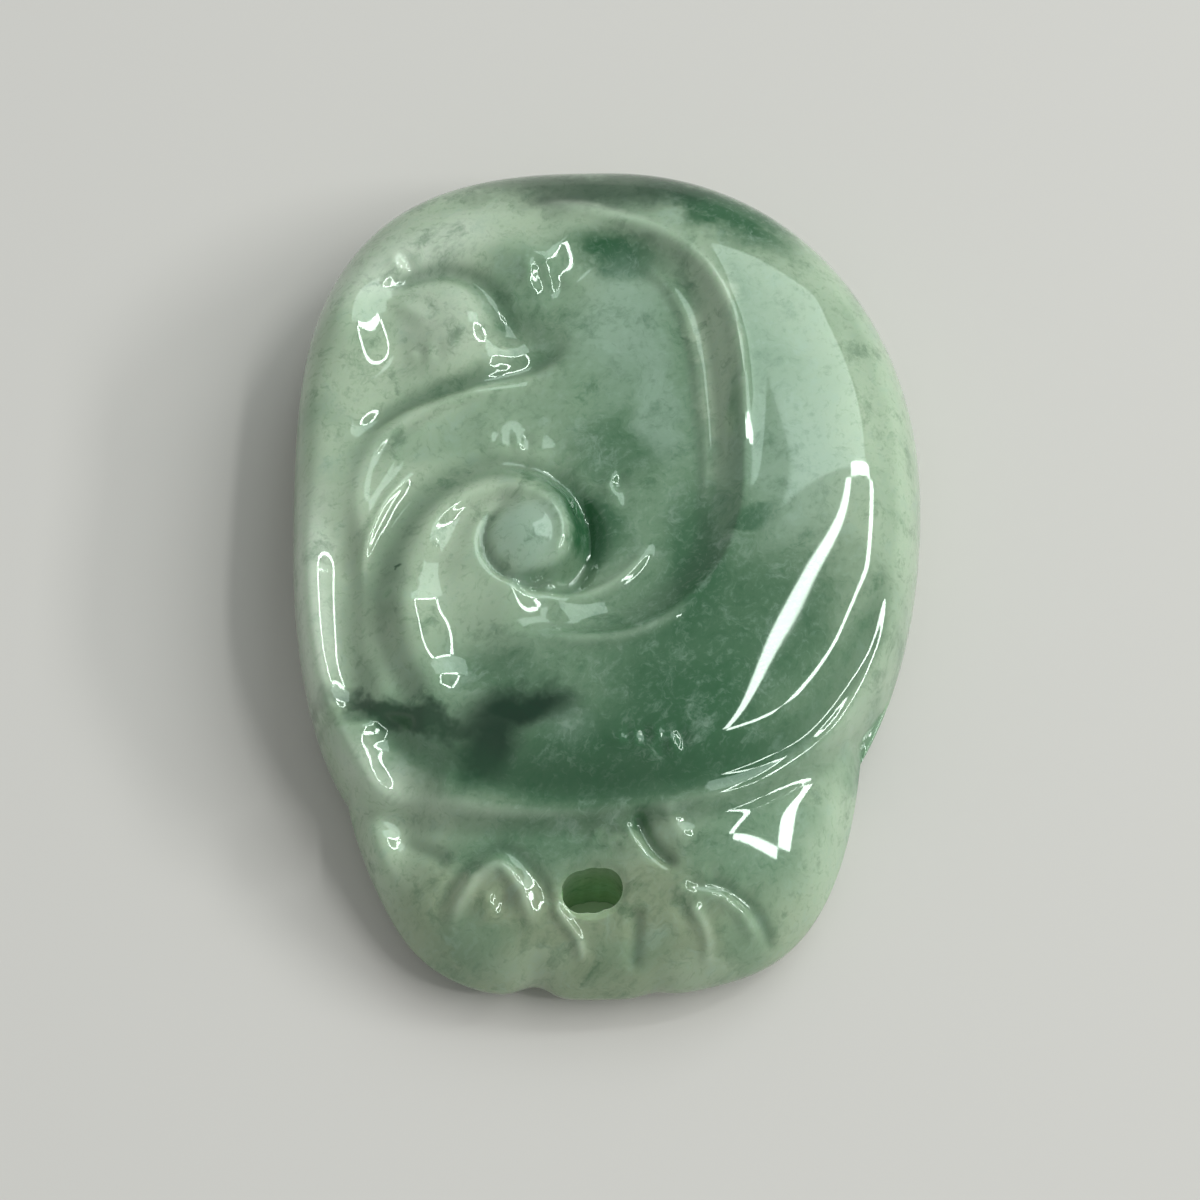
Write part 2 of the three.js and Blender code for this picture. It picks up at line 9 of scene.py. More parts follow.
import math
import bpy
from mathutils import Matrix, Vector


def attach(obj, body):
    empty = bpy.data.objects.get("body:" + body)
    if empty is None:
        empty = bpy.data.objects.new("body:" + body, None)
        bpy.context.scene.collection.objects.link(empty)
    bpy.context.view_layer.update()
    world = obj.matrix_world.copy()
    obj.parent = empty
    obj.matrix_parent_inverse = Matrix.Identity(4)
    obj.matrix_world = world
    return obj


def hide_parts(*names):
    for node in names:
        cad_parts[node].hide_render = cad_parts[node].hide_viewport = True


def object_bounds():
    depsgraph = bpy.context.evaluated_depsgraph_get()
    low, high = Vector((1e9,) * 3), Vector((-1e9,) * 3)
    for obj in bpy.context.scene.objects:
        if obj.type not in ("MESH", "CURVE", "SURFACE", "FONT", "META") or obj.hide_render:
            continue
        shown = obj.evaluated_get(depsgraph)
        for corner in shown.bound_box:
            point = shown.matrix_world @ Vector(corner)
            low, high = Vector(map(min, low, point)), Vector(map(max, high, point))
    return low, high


bl_info = {
    "name": "Jadeite Ruyi Pendant",
    "version": (1, 0, 0),
    "blender": (4, 5, 0),
    "location": "3D View > Sidebar > Pendant",
    "description": "Carves a polished jadeite ruyi pendant and sets it on a pale floor",
    "category": "Object",
}

import bpy
import numpy as np
from bpy.props import FloatProperty, FloatVectorProperty, IntProperty, PointerProperty
from mathutils import Matrix, Vector

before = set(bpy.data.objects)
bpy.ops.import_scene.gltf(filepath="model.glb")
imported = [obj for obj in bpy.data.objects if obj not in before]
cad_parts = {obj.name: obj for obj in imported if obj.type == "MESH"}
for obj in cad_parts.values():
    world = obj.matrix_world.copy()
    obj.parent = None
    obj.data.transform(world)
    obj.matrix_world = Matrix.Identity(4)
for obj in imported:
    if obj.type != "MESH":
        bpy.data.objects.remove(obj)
CAD_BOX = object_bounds()
CAD_NODE = "pendant"
BODY = "root"
MM = 0.001


# The body: a wide head above a narrower tail, both superellipses that share one outline
HEAD = dict(
    x=-0.04, y=2.54, left=10.7, right=10.73, up=11.98, down=14.8, square_left=2.72, square_right=2.08
)
TAIL = dict(
    x=-0.25, y=1.3, left=8.96, right=8.96, up=9, down=16.2, square_left=3.39, square_right=3.39
)

# The dome on the head: the higher its crown, the flatter it is in the middle and the rounder at its
# edge, and its roundness is how much of a plain dome it has
DOME = dict(HEAD, left=12.9, right=11.1, up=12.35, down=13.2)
DOME_CROWN = 7
DOME_ROUNDNESS = 0.25
TAIL_CROWN = 3

# How softly head and tail join, and how tightly the face rounds over at the outline
JOIN_SOFTNESS = 0.25
EDGE_ROUNDING = 36

# The rounded underside's rings, and the angle from which an edge is kept sharp
UNDERSIDE_RINGS = 10
CREASE_ANGLE = math.radians(50)

# The cord hole: three passes of one drill side by side
HOLE_PASSES = [
    dict(x=-0.88, y=-11.92, radius=0.66),
    dict(x=-0.52, y=-11.88, radius=0.7),
    dict(x=-0.18, y=-11.84, radius=0.64),
]
HOLE_SIDES = 72

# How often the search for the outline halves its range
HALVINGS = 40

# Small dents in the outline: angle, depth and width
OUTLINE_DENTS = [
    dict(angle=-99.5, depth=0.4, width=0.7),
    dict(angle=-84, depth=0.15, width=0.6),
    dict(angle=-76, depth=0.2, width=2.2),
    dict(angle=-124, depth=0.2, width=2),
]

# The volute turns about the bead
BEAD = dict(x=-2.7, y=-0.45, radius=1.15, height=0.4)

# The channel between the volute and the outer whorl: x, y and flank width round its outer bank
CHANNEL_BANK = [
    (-7.3, -4.2, 0.5),
    (-7.5, -2.2, 0.6),
    (-7.4, -0.4, 0.7),
    (-7, 1.1, 0.8),
    (-6.3, 2.4, 0.8),
    (-5.3, 3.3, 0.8),
    (-4.1, 4.1, 1),
    (-2.8, 4.8, 2),
    (-1.9, 5.8, 2.6),
    (-1.6, 6.9, 2.6),
    (-1.5, 7.9, 1.9),
    (-1, 8.9, 1.4),
    (-0.2, 9.6, 1.7),
    (0.9, 9.55, 1.7),
    (1.8, 8.8, 1.75),
    (2.4, 7.4, 1.85),
    (2.8, 5.6, 1.7),
    (3.05, 3.4, 1.5),
    (3, 1, 1.45),
    (2.6, -0.6, 1.3),
    (1.6, -1.9, 1.1),
    (0, -2.8, 0.9),
    (-2, -3.15, 0.7),
    (-4.2, -3, 0.5),
]
# The channel's depth by angle about the bead
CHANNEL_DEPTH = [
    (-112, 0),
    (-70, 0.45),
    (-30, 0.8),
    (40, 0.95),
    (64, 0.8),
    (88, 0.45),
    (112, 0.25),
    (140, 0.18),
    (180, 0.14),
    (200, 0.12),
    (220, 0),
    (248, 0),
]
# How the channel's floor rises up its outer flank, and how wide its inner bank is
FLANK_CURVE = 1.5
INNER_BANK = 0.35

# A carved line adds nothing beyond this many times its half width
LINE_REACH = 3

# Grooves take painted shade and ridges a painted highlight: the depth or height that takes the full
# colour, and the half width of the widest line that takes any
SHADING_RELIEF_LAYER = "carved"
SHADING_FULL_RELIEF = 0.3
SHADING_WIDEST_LINE = 0.45

# Spirals about the bead: angles and radii of their ends, and how much of their growth comes late
VOLUTE_EDGE = dict(from_angle=-110, to_angle=228, from_radius=1.42, to_radius=6.15, flare=0.72)
VOLUTE_RIM = dict(from_angle=-50, to_angle=180, from_radius=1.15, to_radius=3.6, flare=0.9)
VOLUTE_DISH = dict(from_angle=90, to_angle=228, from_radius=1.6, to_radius=3.6, flare=0.3)
BEAD_GROOVE = dict(from_angle=110, to_angle=325, from_radius=1.42, to_radius=1.42, flare=0)
BEAD_VALLEY = dict(from_angle=-85, to_angle=65, from_radius=2, to_radius=2.15, flare=0)


def spiral_radius(shape, angle):
    """Radius of a spiral about the bead at an angle."""
    share = (angle - shape["from_angle"]) / (shape["to_angle"] - shape["from_angle"])
    growth = shape["to_radius"] / shape["from_radius"]
    return shape["from_radius"] * growth ** (share + shape["flare"] * share * (share - 1))


def spiral(shape, steps=10):
    """Points along a spiral about the bead."""
    points = []
    for i in range(steps + 1):
        angle = shape["from_angle"] + (shape["to_angle"] - shape["from_angle"]) * i / steps
        radius = spiral_radius(shape, angle)
        turn = math.radians(angle)
        points.append((BEAD["x"] + radius * math.cos(turn), BEAD["y"] + radius * math.sin(turn)))
    return points


def stroke(height, width, fade, points, right=None, spread=1):
    """A carved line: a ridge where height is positive and a groove where it is negative.

    The width is half the line's, right is the half width on the right of its way where that differs,
    spread is how many times wider it ends than it starts, and fade is the share of its length over
    which each end dies away.
    """
    return dict(points=points, height=height, width=width, right=right or width, spread=spread, fade=fade)


# The carved lines, each running its own way over the face
LINES = {
    "volute groove": stroke(-0.34, 0.26, 0.1, spiral(VOLUTE_EDGE), right=0.32, spread=2.4),
    "volute rim": stroke(0.14, 0.24, 0.15, spiral(VOLUTE_RIM)),
    "volute dish": stroke(-0.3, 0.6, 0.25, spiral(VOLUTE_DISH)),
    "volute shoulder": stroke(0.5, 0.8, 0.25, [(-6.9, -1.6), (-6.75, -3.2), (-6.1, -4.8), (-5, -6.2)]),
    "bead groove": stroke(-0.24, 0.2, 0.2, spiral(BEAD_GROOVE)),
    "bead valley": stroke(-0.32, 0.42, 0.3, spiral(BEAD_VALLEY)),
    "channel arc": stroke(0.17, 0.2, 0.3, [
        (1.5, 0), (1, -1), (0, -1.9), (-1, -2.25), (-2.25, -2.3), (-3.1, -2.1),
    ]),
    "lower band": stroke(0.14, 0.24, 0.3, [
        (-2.6, -3.75), (-1, -3.95), (0.5, -3.85), (2, -3.2), (3.1, -2.1),
    ]),
    "lower band groove": stroke(-0.12, 0.22, 0.3, [
        (-2.2, -3.3), (-0.8, -3.5), (0.6, -3.4), (1.9, -2.8), (2.8, -1.8),
    ]),
    "channel crest": stroke(0.13, 0.15, 0.3, [
        (-6.4, 2.3), (-6.95, 1.6), (-7.4, 1), (-7.85, 0), (-8.1, -0.9), (-8.2, -2),
    ]),
    "whorl crest": stroke(0.18, 0.32, 0.12, [
        (-3.4, 11.6), (-2, 11.9), (-1, 11.85), (0, 11.55), (1, 11.2), (2, 10.7), (3, 9.85),
        (3.6, 9), (4, 8), (4.3, 6.9), (4.45, 5.6), (4.5, 3.8), (4.45, 0.5),
    ]),
    "flank fold": stroke(0.1, 0.2, 0.25, [
        (0.6, 10.1), (1.7, 9.4), (2.5, 8.1), (2.95, 6.4), (3.15, 4.6), (3.25, 2.8), (3.2, 1.2),
        (2.9, -0.2),
    ]),
    "flank groove": stroke(-0.1, 0.24, 0.25, [
        (2.1, 9.7), (2.9, 8.5), (3.4, 6.8), (3.6, 5), (3.7, 3.2), (3.65, 1.6),
    ]),
    "rim crease": stroke(-0.08, 0.3, 0.2, [
        (7, 9.45), (8.2, 7.5), (8.95, 5.3), (9.3, 2.9), (9.35, 0.5), (9, -2), (8.1, -4),
    ], right=0.5),
    "dome crease": stroke(-0.36, 0.4, 0.12, [
        (9.2, -1), (8.8, -3), (7.8, -5), (6.4, -6.8), (4.5, -8), (2, -8.7), (-0.5, -8.85),
        (-3, -8.6), (-4.6, -8.1), (-6, -7.3), (-7.2, -6.5), (-8.3, -5.9),
    ], right=0.6, spread=1.6),
    "lip": stroke(0.2, 0.36, 0.12, [
        (9.4, -3.2), (8.6, -5), (7.2, -6.75), (5.5, -8), (3.6, -8.9), (1, -9.3), (-1.6, -9.45),
        (-4, -9.35), (-6, -9), (-7.6, -8.45), (-8.5, -7.5), (-9.1, -6.3), (-9.6, -5), (-9.95, -3.2),
        (-10.1, -1.2), (-10.1, 0.8), (-9.9, 3),
    ], right=0.45),
    "lip foot": stroke(-0.12, 0.36, 0.1, [
        (8.8, -6.2), (7.6, -7.1), (6.3, -8), (4.8, -9), (3.2, -9.6), (0.4, -9.9), (-2.3, -10),
        (-4.9, -9.85), (-6.8, -9.5), (-8.7, -8.8),
    ]),
    "lip hollow": stroke(-0.34, 0.75, 0.25, [
        (-7.6, -6.1), (-7.1, -7), (-6.3, -7.9), (-5.2, -8.6),
    ], right=0.9),
    "lip shoulder": stroke(0.16, 0.5, 0.3, [(-9.3, -5.9), (-8.75, -7.2), (-7.9, -8.2), (-6.6, -8.8)]),
    "band ridge": stroke(0.12, 0.34, 0.2, [
        (-2.2, 6), (-3, 5.55), (-4.2, 5.1), (-5.5, 4.65), (-6.8, 4.05), (-7.7, 3.2), (-8.2, 2.1),
        (-8.3, 0.8), (-8.2, -0.8), (-8.1, -2.3),
    ]),
    "band line": stroke(-0.07, 0.16, 0.2, [(-3.8, 5), (-5, 4.6), (-6.3, 4), (-7.3, 3.2), (-7.9, 2.2)]),
    "band groove": stroke(-0.3, 0.3, 0.2, [
        (-1.1, 7.3), (-2.2, 6.3), (-3.2, 5.8), (-4.2, 5.5), (-5.5, 5.15), (-6.8, 4.65), (-7.9, 3.9),
        (-8.6, 3),
    ], right=0.45),
    "rim valley": stroke(-0.6, 0.7, 0.3, [
        (-8.6, 1.2), (-8.65, -0.4), (-8.65, -2), (-8.55, -3.6), (-8.3, -5.2), (-7.9, -6.4),
    ], right=1),
    "curl band": stroke(0.26, 0.75, 0.18, [
        (-9.3, 6.4), (-8.9, 8.3), (-8, 9.6), (-6.6, 10.45), (-5, 10.65), (-3.5, 10.35), (-2.5, 9.7),
        (-2.2, 8.8),
    ]),
    "bevel edge": stroke(0.09, 0.3, 0.25, [
        (-9.1, 9.3), (-7.6, 10.8), (-5.8, 11.5), (-3.9, 11.65), (-2, 11.6),
    ], right=0.5),
    "curl groove": stroke(-0.32, 0.24, 0.18, [
        (-7.6, 8.6), (-7, 9.15), (-6.2, 9.45), (-5.4, 9.5), (-4.6, 9.2), (-3.95, 8.6), (-3.5, 7.7),
        (-3.1, 6.8),
    ], right=0.3, spread=2.2),
    "curl tip": stroke(0.12, 0.3, 0.35, [(-7.3, 8.6), (-6.6, 8), (-5.9, 7.5)]),
    "shoulder wedge": stroke(-0.35, 0.5, 0.3, [(-7.6, -2.6), (-7.4, -4), (-6.8, -5.2), (-6, -6.1)]),
    "shoulder groove": stroke(-0.24, 0.28, 0.2, [
        (-10.2, -6.3), (-9.2, -6.2), (-8.2, -6.1), (-7.2, -6.3), (-6, -6.7),
    ]),
    "crescent": stroke(-0.32, 0.24, 0.2, [
        (0.9, -9.3), (1.1, -10), (1.55, -10.7), (2.35, -11.3),
    ], right=0.22),
    "crescent edge": stroke(0.14, 0.3, 0.3, [(1.75, -9.1), (2.1, -9.9), (2.7, -10.6)]),
    "petal edge": stroke(-0.2, 0.26, 0.15, [
        (2.3, -11.9), (3.4, -11.8), (4.3, -12.1), (5.1, -12.9), (5.4, -13.6),
    ]),
    "petal ridge": stroke(0.16, 0.24, 0.2, [
        (1.9, -12), (2.8, -11.95), (3.7, -12.1), (4.5, -12.7), (4.9, -13.5),
    ]),
    "arch": stroke(0.2, 0.26, 0.2, [
        (-5.3, -13.4), (-4.9, -12.3), (-4.3, -11.5), (-3.6, -11.1), (-3, -11.6), (-2.6, -12.4),
        (-2.5, -13.3),
    ]),
    "arch groove": stroke(-0.16, 0.24, 0.2, [
        (-5.8, -13), (-5.3, -11.9), (-4.5, -10.9), (-3.5, -10.5), (-2.6, -11.1), (-2, -12),
        (-1.9, -13),
    ]),
    "left petal line": stroke(-0.14, 0.3, 0.3, [(-7.2, -9.8), (-5.9, -10.5), (-5, -11.1)]),
    "hole petal line": stroke(0.16, 0.18, 0.2, [
        (-1.9, -12.2), (-1.45, -12.8), (-1, -13.4), (-0.8, -14.2),
    ]),
    "middle petal line": stroke(-0.18, 0.26, 0.2, [(0.9, -12.4), (0.9, -13.2), (0.8, -14.4)]),
    "lower petal line": stroke(0.16, 0.2, 0.2, [(2.5, -12.3), (3, -12.8), (3.25, -13.5), (3.2, -14.2)]),
    "small curl": stroke(0.09, 0.16, 0.25, [
        (-0.6, -10.9), (-0.4, -10.1), (0.1, -9.8), (0.65, -10.1), (0.95, -10.9),
    ]),
    "small curl inside": stroke(0.07, 0.12, 0.3, [
        (-0.1, -10.9), (0, -10.45), (0.25, -10.3), (0.5, -10.5), (0.6, -11),
    ]),
}

# Rounded knobs, and hollows with their height below 0: stretch lengthens one along its angle
KNOBS = {
    "bead": dict(BEAD, stretch=1, angle=0),
    "curl": dict(x=-5.2, y=7.5, radius=1.5, height=0.42, stretch=1.15, angle=-80),
    "shoulder knob": dict(x=-9.2, y=7.4, radius=1.3, height=0.3, stretch=1.3, angle=70),
    "curl hollow": dict(x=-3, y=7.3, radius=0.85, height=-0.35, stretch=1.5, angle=-40),
    "left fall": dict(x=-5.5, y=6.5, radius=4.6, height=-0.7, stretch=1.3, angle=45),
    "shoulder fall": dict(x=-9.6, y=-7.6, radius=2.6, height=-0.8, stretch=1.2, angle=-60),
    "right petal": dict(x=3.0, y=-9.4, radius=3.1, height=0.62, stretch=1.3, angle=60),
    "left petal": dict(x=-8.2, y=-9.9, radius=1.5, height=0.85, stretch=1.3, angle=-75),
    "dish": dict(x=-4.3, y=-4, radius=1.4, height=-0.4, stretch=1.6, angle=-60),
}

# Tilted facets: each adds its own slope, falling to the right and down the carving, and dies away
# round about
FACETS = {
    "left rim": dict(x=-9.25, y=-3, radius=0.8, right=0.15, down=0, stretch=1.8, angle=92),
    "left rim top": dict(x=-9.2, y=-1, radius=0.8, right=0.1, down=0, stretch=1.5, angle=90),
    "left rim middle": dict(x=-9.2, y=-4.4, radius=0.8, right=0.15, down=0, stretch=1.5, angle=80),
    "left rim foot": dict(x=-8.8, y=-5.7, radius=0.8, right=0.62, down=0, stretch=1.3, angle=70),
    "left corner": dict(x=-8.6, y=4.2, radius=1.2, right=0.08, down=0, stretch=1.4, angle=60),
    "left flank": dict(x=-9.2, y=2.9, radius=0.8, right=0.18, down=0, stretch=1.3, angle=80),
    "lip turn": dict(x=-8, y=-7, radius=1, right=0.48, down=0.07, stretch=1.3, angle=-60),
    "lip run": dict(x=-7.3, y=-8, radius=0.9, right=0.27, down=0.36, stretch=1.4, angle=-50),
    "whorl flank top": dict(x=-6.3, y=-3, radius=0.8, right=-0.01, down=0, stretch=1.3, angle=-68),
    "whorl side": dict(x=-5.8, y=-3.2, radius=1.5, right=-0.09, down=0.32, stretch=1.6, angle=-65),
    "whorl flank head": dict(x=-5.9, y=-0.9, radius=0.8, right=-0.2, down=0.12, stretch=1.4, angle=-80),
    "whorl flank": dict(x=-5.9, y=-4.2, radius=0.8, right=-0.14, down=0.29, stretch=1.4, angle=-68),
    "whorl flank foot": dict(x=-5.2, y=-5.5, radius=0.8, right=-0.03, down=0.19, stretch=1.3, angle=-60),
    "band end": dict(x=-2.4, y=6.2, radius=0.8, right=0, down=0.03, stretch=1.4, angle=30),
    "shoulder": dict(x=-8.1, y=6.9, radius=1.2, right=0.31, down=0.15, stretch=1.2, angle=90),
    "shoulder foot": dict(x=-7.4, y=6.6, radius=0.8, right=0.27, down=0, stretch=1.2, angle=0),
    "curl side": dict(x=-4.35, y=7.1, radius=0.7, right=0.08, down=0.32, stretch=1.2, angle=70),
    "tail corner": dict(x=-7.3, y=-10.2, radius=0.9, right=0.74, down=-0.09, stretch=1.2, angle=90),
    "channel floor": dict(x=0, y=6.3, radius=2.2, right=0.06, down=0.13, stretch=1.3, angle=70),
    "channel foot": dict(x=-0.6, y=3.4, radius=1.6, right=-0.08, down=0.09, stretch=1.3, angle=0),
    "channel side": dict(x=-1.6, y=4, radius=0.9, right=-0.18, down=-0.05, stretch=1.5, angle=90),
    "right rim": dict(x=8.7, y=0, radius=1.8, right=-0.02, down=0.08, stretch=2.2, angle=85),
    "right rim low": dict(x=7.6, y=-3.6, radius=1.8, right=-0.14, down=-0.04, stretch=1.5, angle=55),
    "right petal": dict(x=5.2, y=-9.8, radius=1.5, right=0.02, down=0.01, stretch=1.3, angle=60),
}

# Clusters of tiny tilted chips in the polish, which catch the light: each cluster's spread across and
# along, and the size and slope of its chips
CHIPS = [
    dict(x=1.7, y=-7.25, across=1.5, along=0.3, count=12, size=0.24, tilt=0.5),
    dict(x=0.3, y=1.8, across=0.5, along=0.6, count=10, size=0.2, tilt=0.5),
    dict(x=-2.2, y=9.1, across=0.6, along=0.8, count=12, size=0.26, tilt=0.3),
    dict(x=8.2, y=-6.6, across=0.9, along=0.5, count=8, size=0.26, tilt=0.3),
    dict(x=-3.1, y=3.3, across=0.7, along=0.1, count=4, size=0.22, tilt=0.4),
    dict(x=3, y=-12.3, across=1.6, along=0.8, count=10, size=0.26, tilt=0.3),
    dict(x=-5.8, y=6.5, across=0.5, along=0.1, count=2, size=0.26, tilt=0.4),
    dict(x=-3.6, y=-12, across=1.2, along=0.9, count=16, size=0.28, tilt=0.35),
    dict(x=-7, y=10.1, across=0.7, along=0.4, count=5, size=0.26, tilt=0.45),
]
# How far chips vary in size, and in tilt to the right and down
CHIP_SIZES = (0.7, 1.3)
CHIP_RIGHT = (0.6, 1.4)
CHIP_DOWN = (-0.7, 0.3)
CHIP_SEED = 7


# Carving
def bell(value):
    """A smooth bump: 1 at zero, dying away on both sides."""
    return np.exp(-value * value)


def smooth_step(value, low, high):
    """Climbs smoothly from 0 at low to 1 at high."""
    share = np.clip((value - low) / (high - low), 0, 1)
    return share * share * (3 - 2 * share)


def measure(shape, x, y):
    """A superellipse's own measure of a point: 0 at its centre and 1 on its edge."""
    dx = x - shape["x"]
    dy = y - shape["y"]
    power = np.where(dx < 0, shape["square_left"], shape["square_right"])
    across = np.abs(dx) / np.where(dx < 0, shape["left"], shape["right"])
    along = np.abs(dy) / np.where(dy < 0, shape["down"], shape["up"])
    return (across**power + along**power) ** (1 / power)


def outline_radius(turn):
    """The outline's radius about the origin in each direction, with its dents taken off."""
    inside = np.zeros_like(turn)
    outside = np.full_like(turn, 2.0 * TAIL["down"])
    for _ in range(HALVINGS):
        middle = (inside + outside) / 2
        x = middle * np.cos(turn)
        y = middle * np.sin(turn)
        within = np.minimum(measure(HEAD, x, y), measure(TAIL, x, y)) < 1
        inside = np.where(within, middle, inside)
        outside = np.where(within, outside, middle)
    radius = inside.copy()
    for dent in OUTLINE_DENTS:
        away = turn - math.radians(dent["angle"])
        arc = np.arctan2(np.sin(away), np.cos(away)) * inside
        radius -= dent["depth"] * bell(arc / dent["width"])
    return radius


def crown(share, rise, power, roundness=0.0):
    """Height of a rounded body over the girdle at a share of the way out to its edge."""
    full = np.sqrt(np.maximum(0, 1 - share**power))
    plain = np.sqrt(np.maximum(0, 1 - share**2))
    return rise * (full * (1 - roundness) + plain * roundness)


def smooth_line(points, closed=False, lengths_each=8):
    """A centripetal Catmull-Rom line through a few points, cut into short straight lengths."""
    knots = [np.array(point, float) for point in points]
    if closed:
        padded = [knots[-1], *knots, knots[0], knots[1]]
    else:
        padded = [2 * knots[0] - knots[1], *knots, 2 * knots[-1] - knots[-2]]
    line = []
    for i in range(len(padded) - 3):
        before, start, end, after = padded[i : i + 4]
        spans = [math.sqrt(math.dist(a, b)) for a, b in ((before, start), (start, end), (end, after))]
        step = (end - start) / spans[1]
        leave = (start - before) / spans[0] - (end - before) / (spans[0] + spans[1]) + step
        arrive = step - (after - start) / (spans[1] + spans[2]) + (after - end) / spans[2]
        leave = leave * spans[1]
        arrive = arrive * spans[1]
        for k in range(lengths_each):
            t = k / lengths_each
            bend = -3 * start + 3 * end - 2 * leave - arrive
            twist = 2 * start - 2 * end + leave + arrive
            line.append(start + leave * t + bend * t * t + twist * t**3)
    line.append(knots[0] if closed else knots[-1])
    return np.array(line)


def nearest(line, x, y):
    """How far points are from a line, their share of the way along it, and their side, left above 0."""
    distance = np.full(x.shape, np.inf)
    along = np.zeros(x.shape)
    side = np.zeros(x.shape)
    count = len(line) - 1
    for i in range(count):
        step = line[i + 1] - line[i]
        t = np.clip(((x - line[i, 0]) * step[0] + (y - line[i, 1]) * step[1]) / (step @ step), 0, 1)
        gap_x = x - line[i, 0] - t * step[0]
        gap_y = y - line[i, 1] - t * step[1]
        gap = np.hypot(gap_x, gap_y)
        closer = gap < distance
        distance = np.where(closer, gap, distance)
        along = np.where(closer, (i + t) / count, along)
        side = np.where(closer, step[0] * gap_y - step[1] * gap_x, side)
    return distance, along, side


def line_relief(x, y, widest=math.inf):
    """Height that the carved lines up to a half width add to the face."""
    relief = np.zeros(x.shape)
    for line in LINES.values():
        if line["width"] > widest:
            continue
        path = smooth_line(line["points"])
        reach = LINE_REACH * max(line["width"], line["right"]) * line["spread"]
        low = path.min(axis=0) - reach
        high = path.max(axis=0) + reach
        near = (x > low[0]) & (x < high[0]) & (y > low[1]) & (y < high[1])
        distance, along, side = nearest(path, x[near], y[near])
        fade = line["fade"]
        ends = smooth_step(along, 0, fade) * smooth_step(1 - along, 0, fade)
        width = np.where(side < 0, line["right"], line["width"]) * (1 + (line["spread"] - 1) * along)
        relief[near] += line["height"] * ends * bell(distance / width)
    return relief


def knob_relief(x, y):
    """Height that the knobs and hollows add to the face."""
    relief = np.zeros(x.shape)
    for knob in KNOBS.values():
        turn = math.radians(knob["angle"])
        along = (x - knob["x"]) * math.cos(turn) + (y - knob["y"]) * math.sin(turn)
        across = (y - knob["y"]) * math.cos(turn) - (x - knob["x"]) * math.sin(turn)
        relief += knob["height"] * bell(np.hypot(along / knob["stretch"], across) / knob["radius"])
    return relief


def facet_relief(x, y):
    """Height that the tilted facets add to the face."""
    relief = np.zeros(x.shape)
    for facet in FACETS.values():
        turn = math.radians(facet["angle"])
        across = x - facet["x"]
        up = y - facet["y"]
        along = across * math.cos(turn) + up * math.sin(turn)
        aside = up * math.cos(turn) - across * math.sin(turn)
        fall = up * facet["down"] - across * facet["right"]
        relief += fall * bell(np.hypot(along / facet["stretch"], aside) / facet["radius"])
    return relief


def chip_relief(x, y):
    """Height that the tiny tilted chips add to the face."""
    relief = np.zeros(x.shape)
    random = np.random.default_rng(CHIP_SEED)
    for cluster in CHIPS:
        for _ in range(cluster["count"]):
            across = x - cluster["x"] - cluster["across"] * random.normal() / 2
            up = y - cluster["y"] - cluster["along"] * random.normal() / 2
            size = cluster["size"] * random.uniform(*CHIP_SIZES)
            right = cluster["tilt"] * random.uniform(*CHIP_RIGHT)
            down = cluster["tilt"] * random.uniform(*CHIP_DOWN)
            relief += (up * down - across * right) * bell(np.hypot(across, up) / size)
    return relief


def channel_relief(x, y):
    """The channel: full depth on its floor, dying away up the outer flank and over the volute's edge."""
    angles = np.array([angle for angle, _ in CHANNEL_DEPTH], float)
    depths = np.array([depth for _, depth in CHANNEL_DEPTH])
    bearing = np.degrees(np.arctan2(y - BEAD["y"], x - BEAD["x"]))
    angle = angles[0] + (bearing - angles[0]) % 360
    row = np.clip(np.searchsorted(angles, angle, side="right") - 1, 0, len(angles) - 2)
    depth = depths[row] + (depths[row + 1] - depths[row]) * smooth_step(angle, angles[row], angles[row + 1])
    bank = smooth_line([(bx, by) for bx, by, _ in CHANNEL_BANK], closed=True, lengths_each=24)
    distance, along, side = nearest(bank, x, y)
    flanks = np.array([flank for _, _, flank in CHANNEL_BANK])
    place = along * len(flanks)
    before = np.floor(place).astype(int) % len(flanks)
    after = (before + 1) % len(flanks)
    flank = flanks[before] + (flanks[after] - flanks[before]) * (place % 1)
    climb = np.where(side < 0, 0, np.clip(distance / flank, 0, 1))
    outside = np.hypot(x - BEAD["x"], y - BEAD["y"]) - spiral_radius(VOLUTE_EDGE, angle)
    floor = smooth_step(outside, -INNER_BANK, INNER_BANK)
    return -depth * floor * (1 - climb**FLANK_CURVE)


def hole_lip(x, y, depth, width):
    """The soft lip worn round the cord hole."""
    passes = [np.hypot(x - drill["x"], y - drill["y"]) - drill["radius"] for drill in HOLE_PASSES]
    away = np.maximum(np.minimum.reduce(passes), 0)
    return -depth * bell(away / width)


def face_height(x, y, share, sizes):
    """Height of the carved face over the back."""
    head = crown(measure(DOME, x, y), sizes.head_rise, DOME_CROWN, DOME_ROUNDNESS)
    tail = crown(measure(TAIL, x, y), sizes.tail_rise, TAIL_CROWN)
    relief = channel_relief(x, y) + line_relief(x, y) + knob_relief(x, y)
    relief += facet_relief(x, y)
    relief += chip_relief(x, y)
    relief += hole_lip(x, y, sizes.lip_depth, sizes.lip_width)
    edge = np.sqrt(np.maximum(0, 1 - share**EDGE_ROUNDING))
    body = (head + tail + np.hypot(head - tail, JOIN_SOFTNESS)) / 2
    return sizes.girdle + edge * (body + relief)


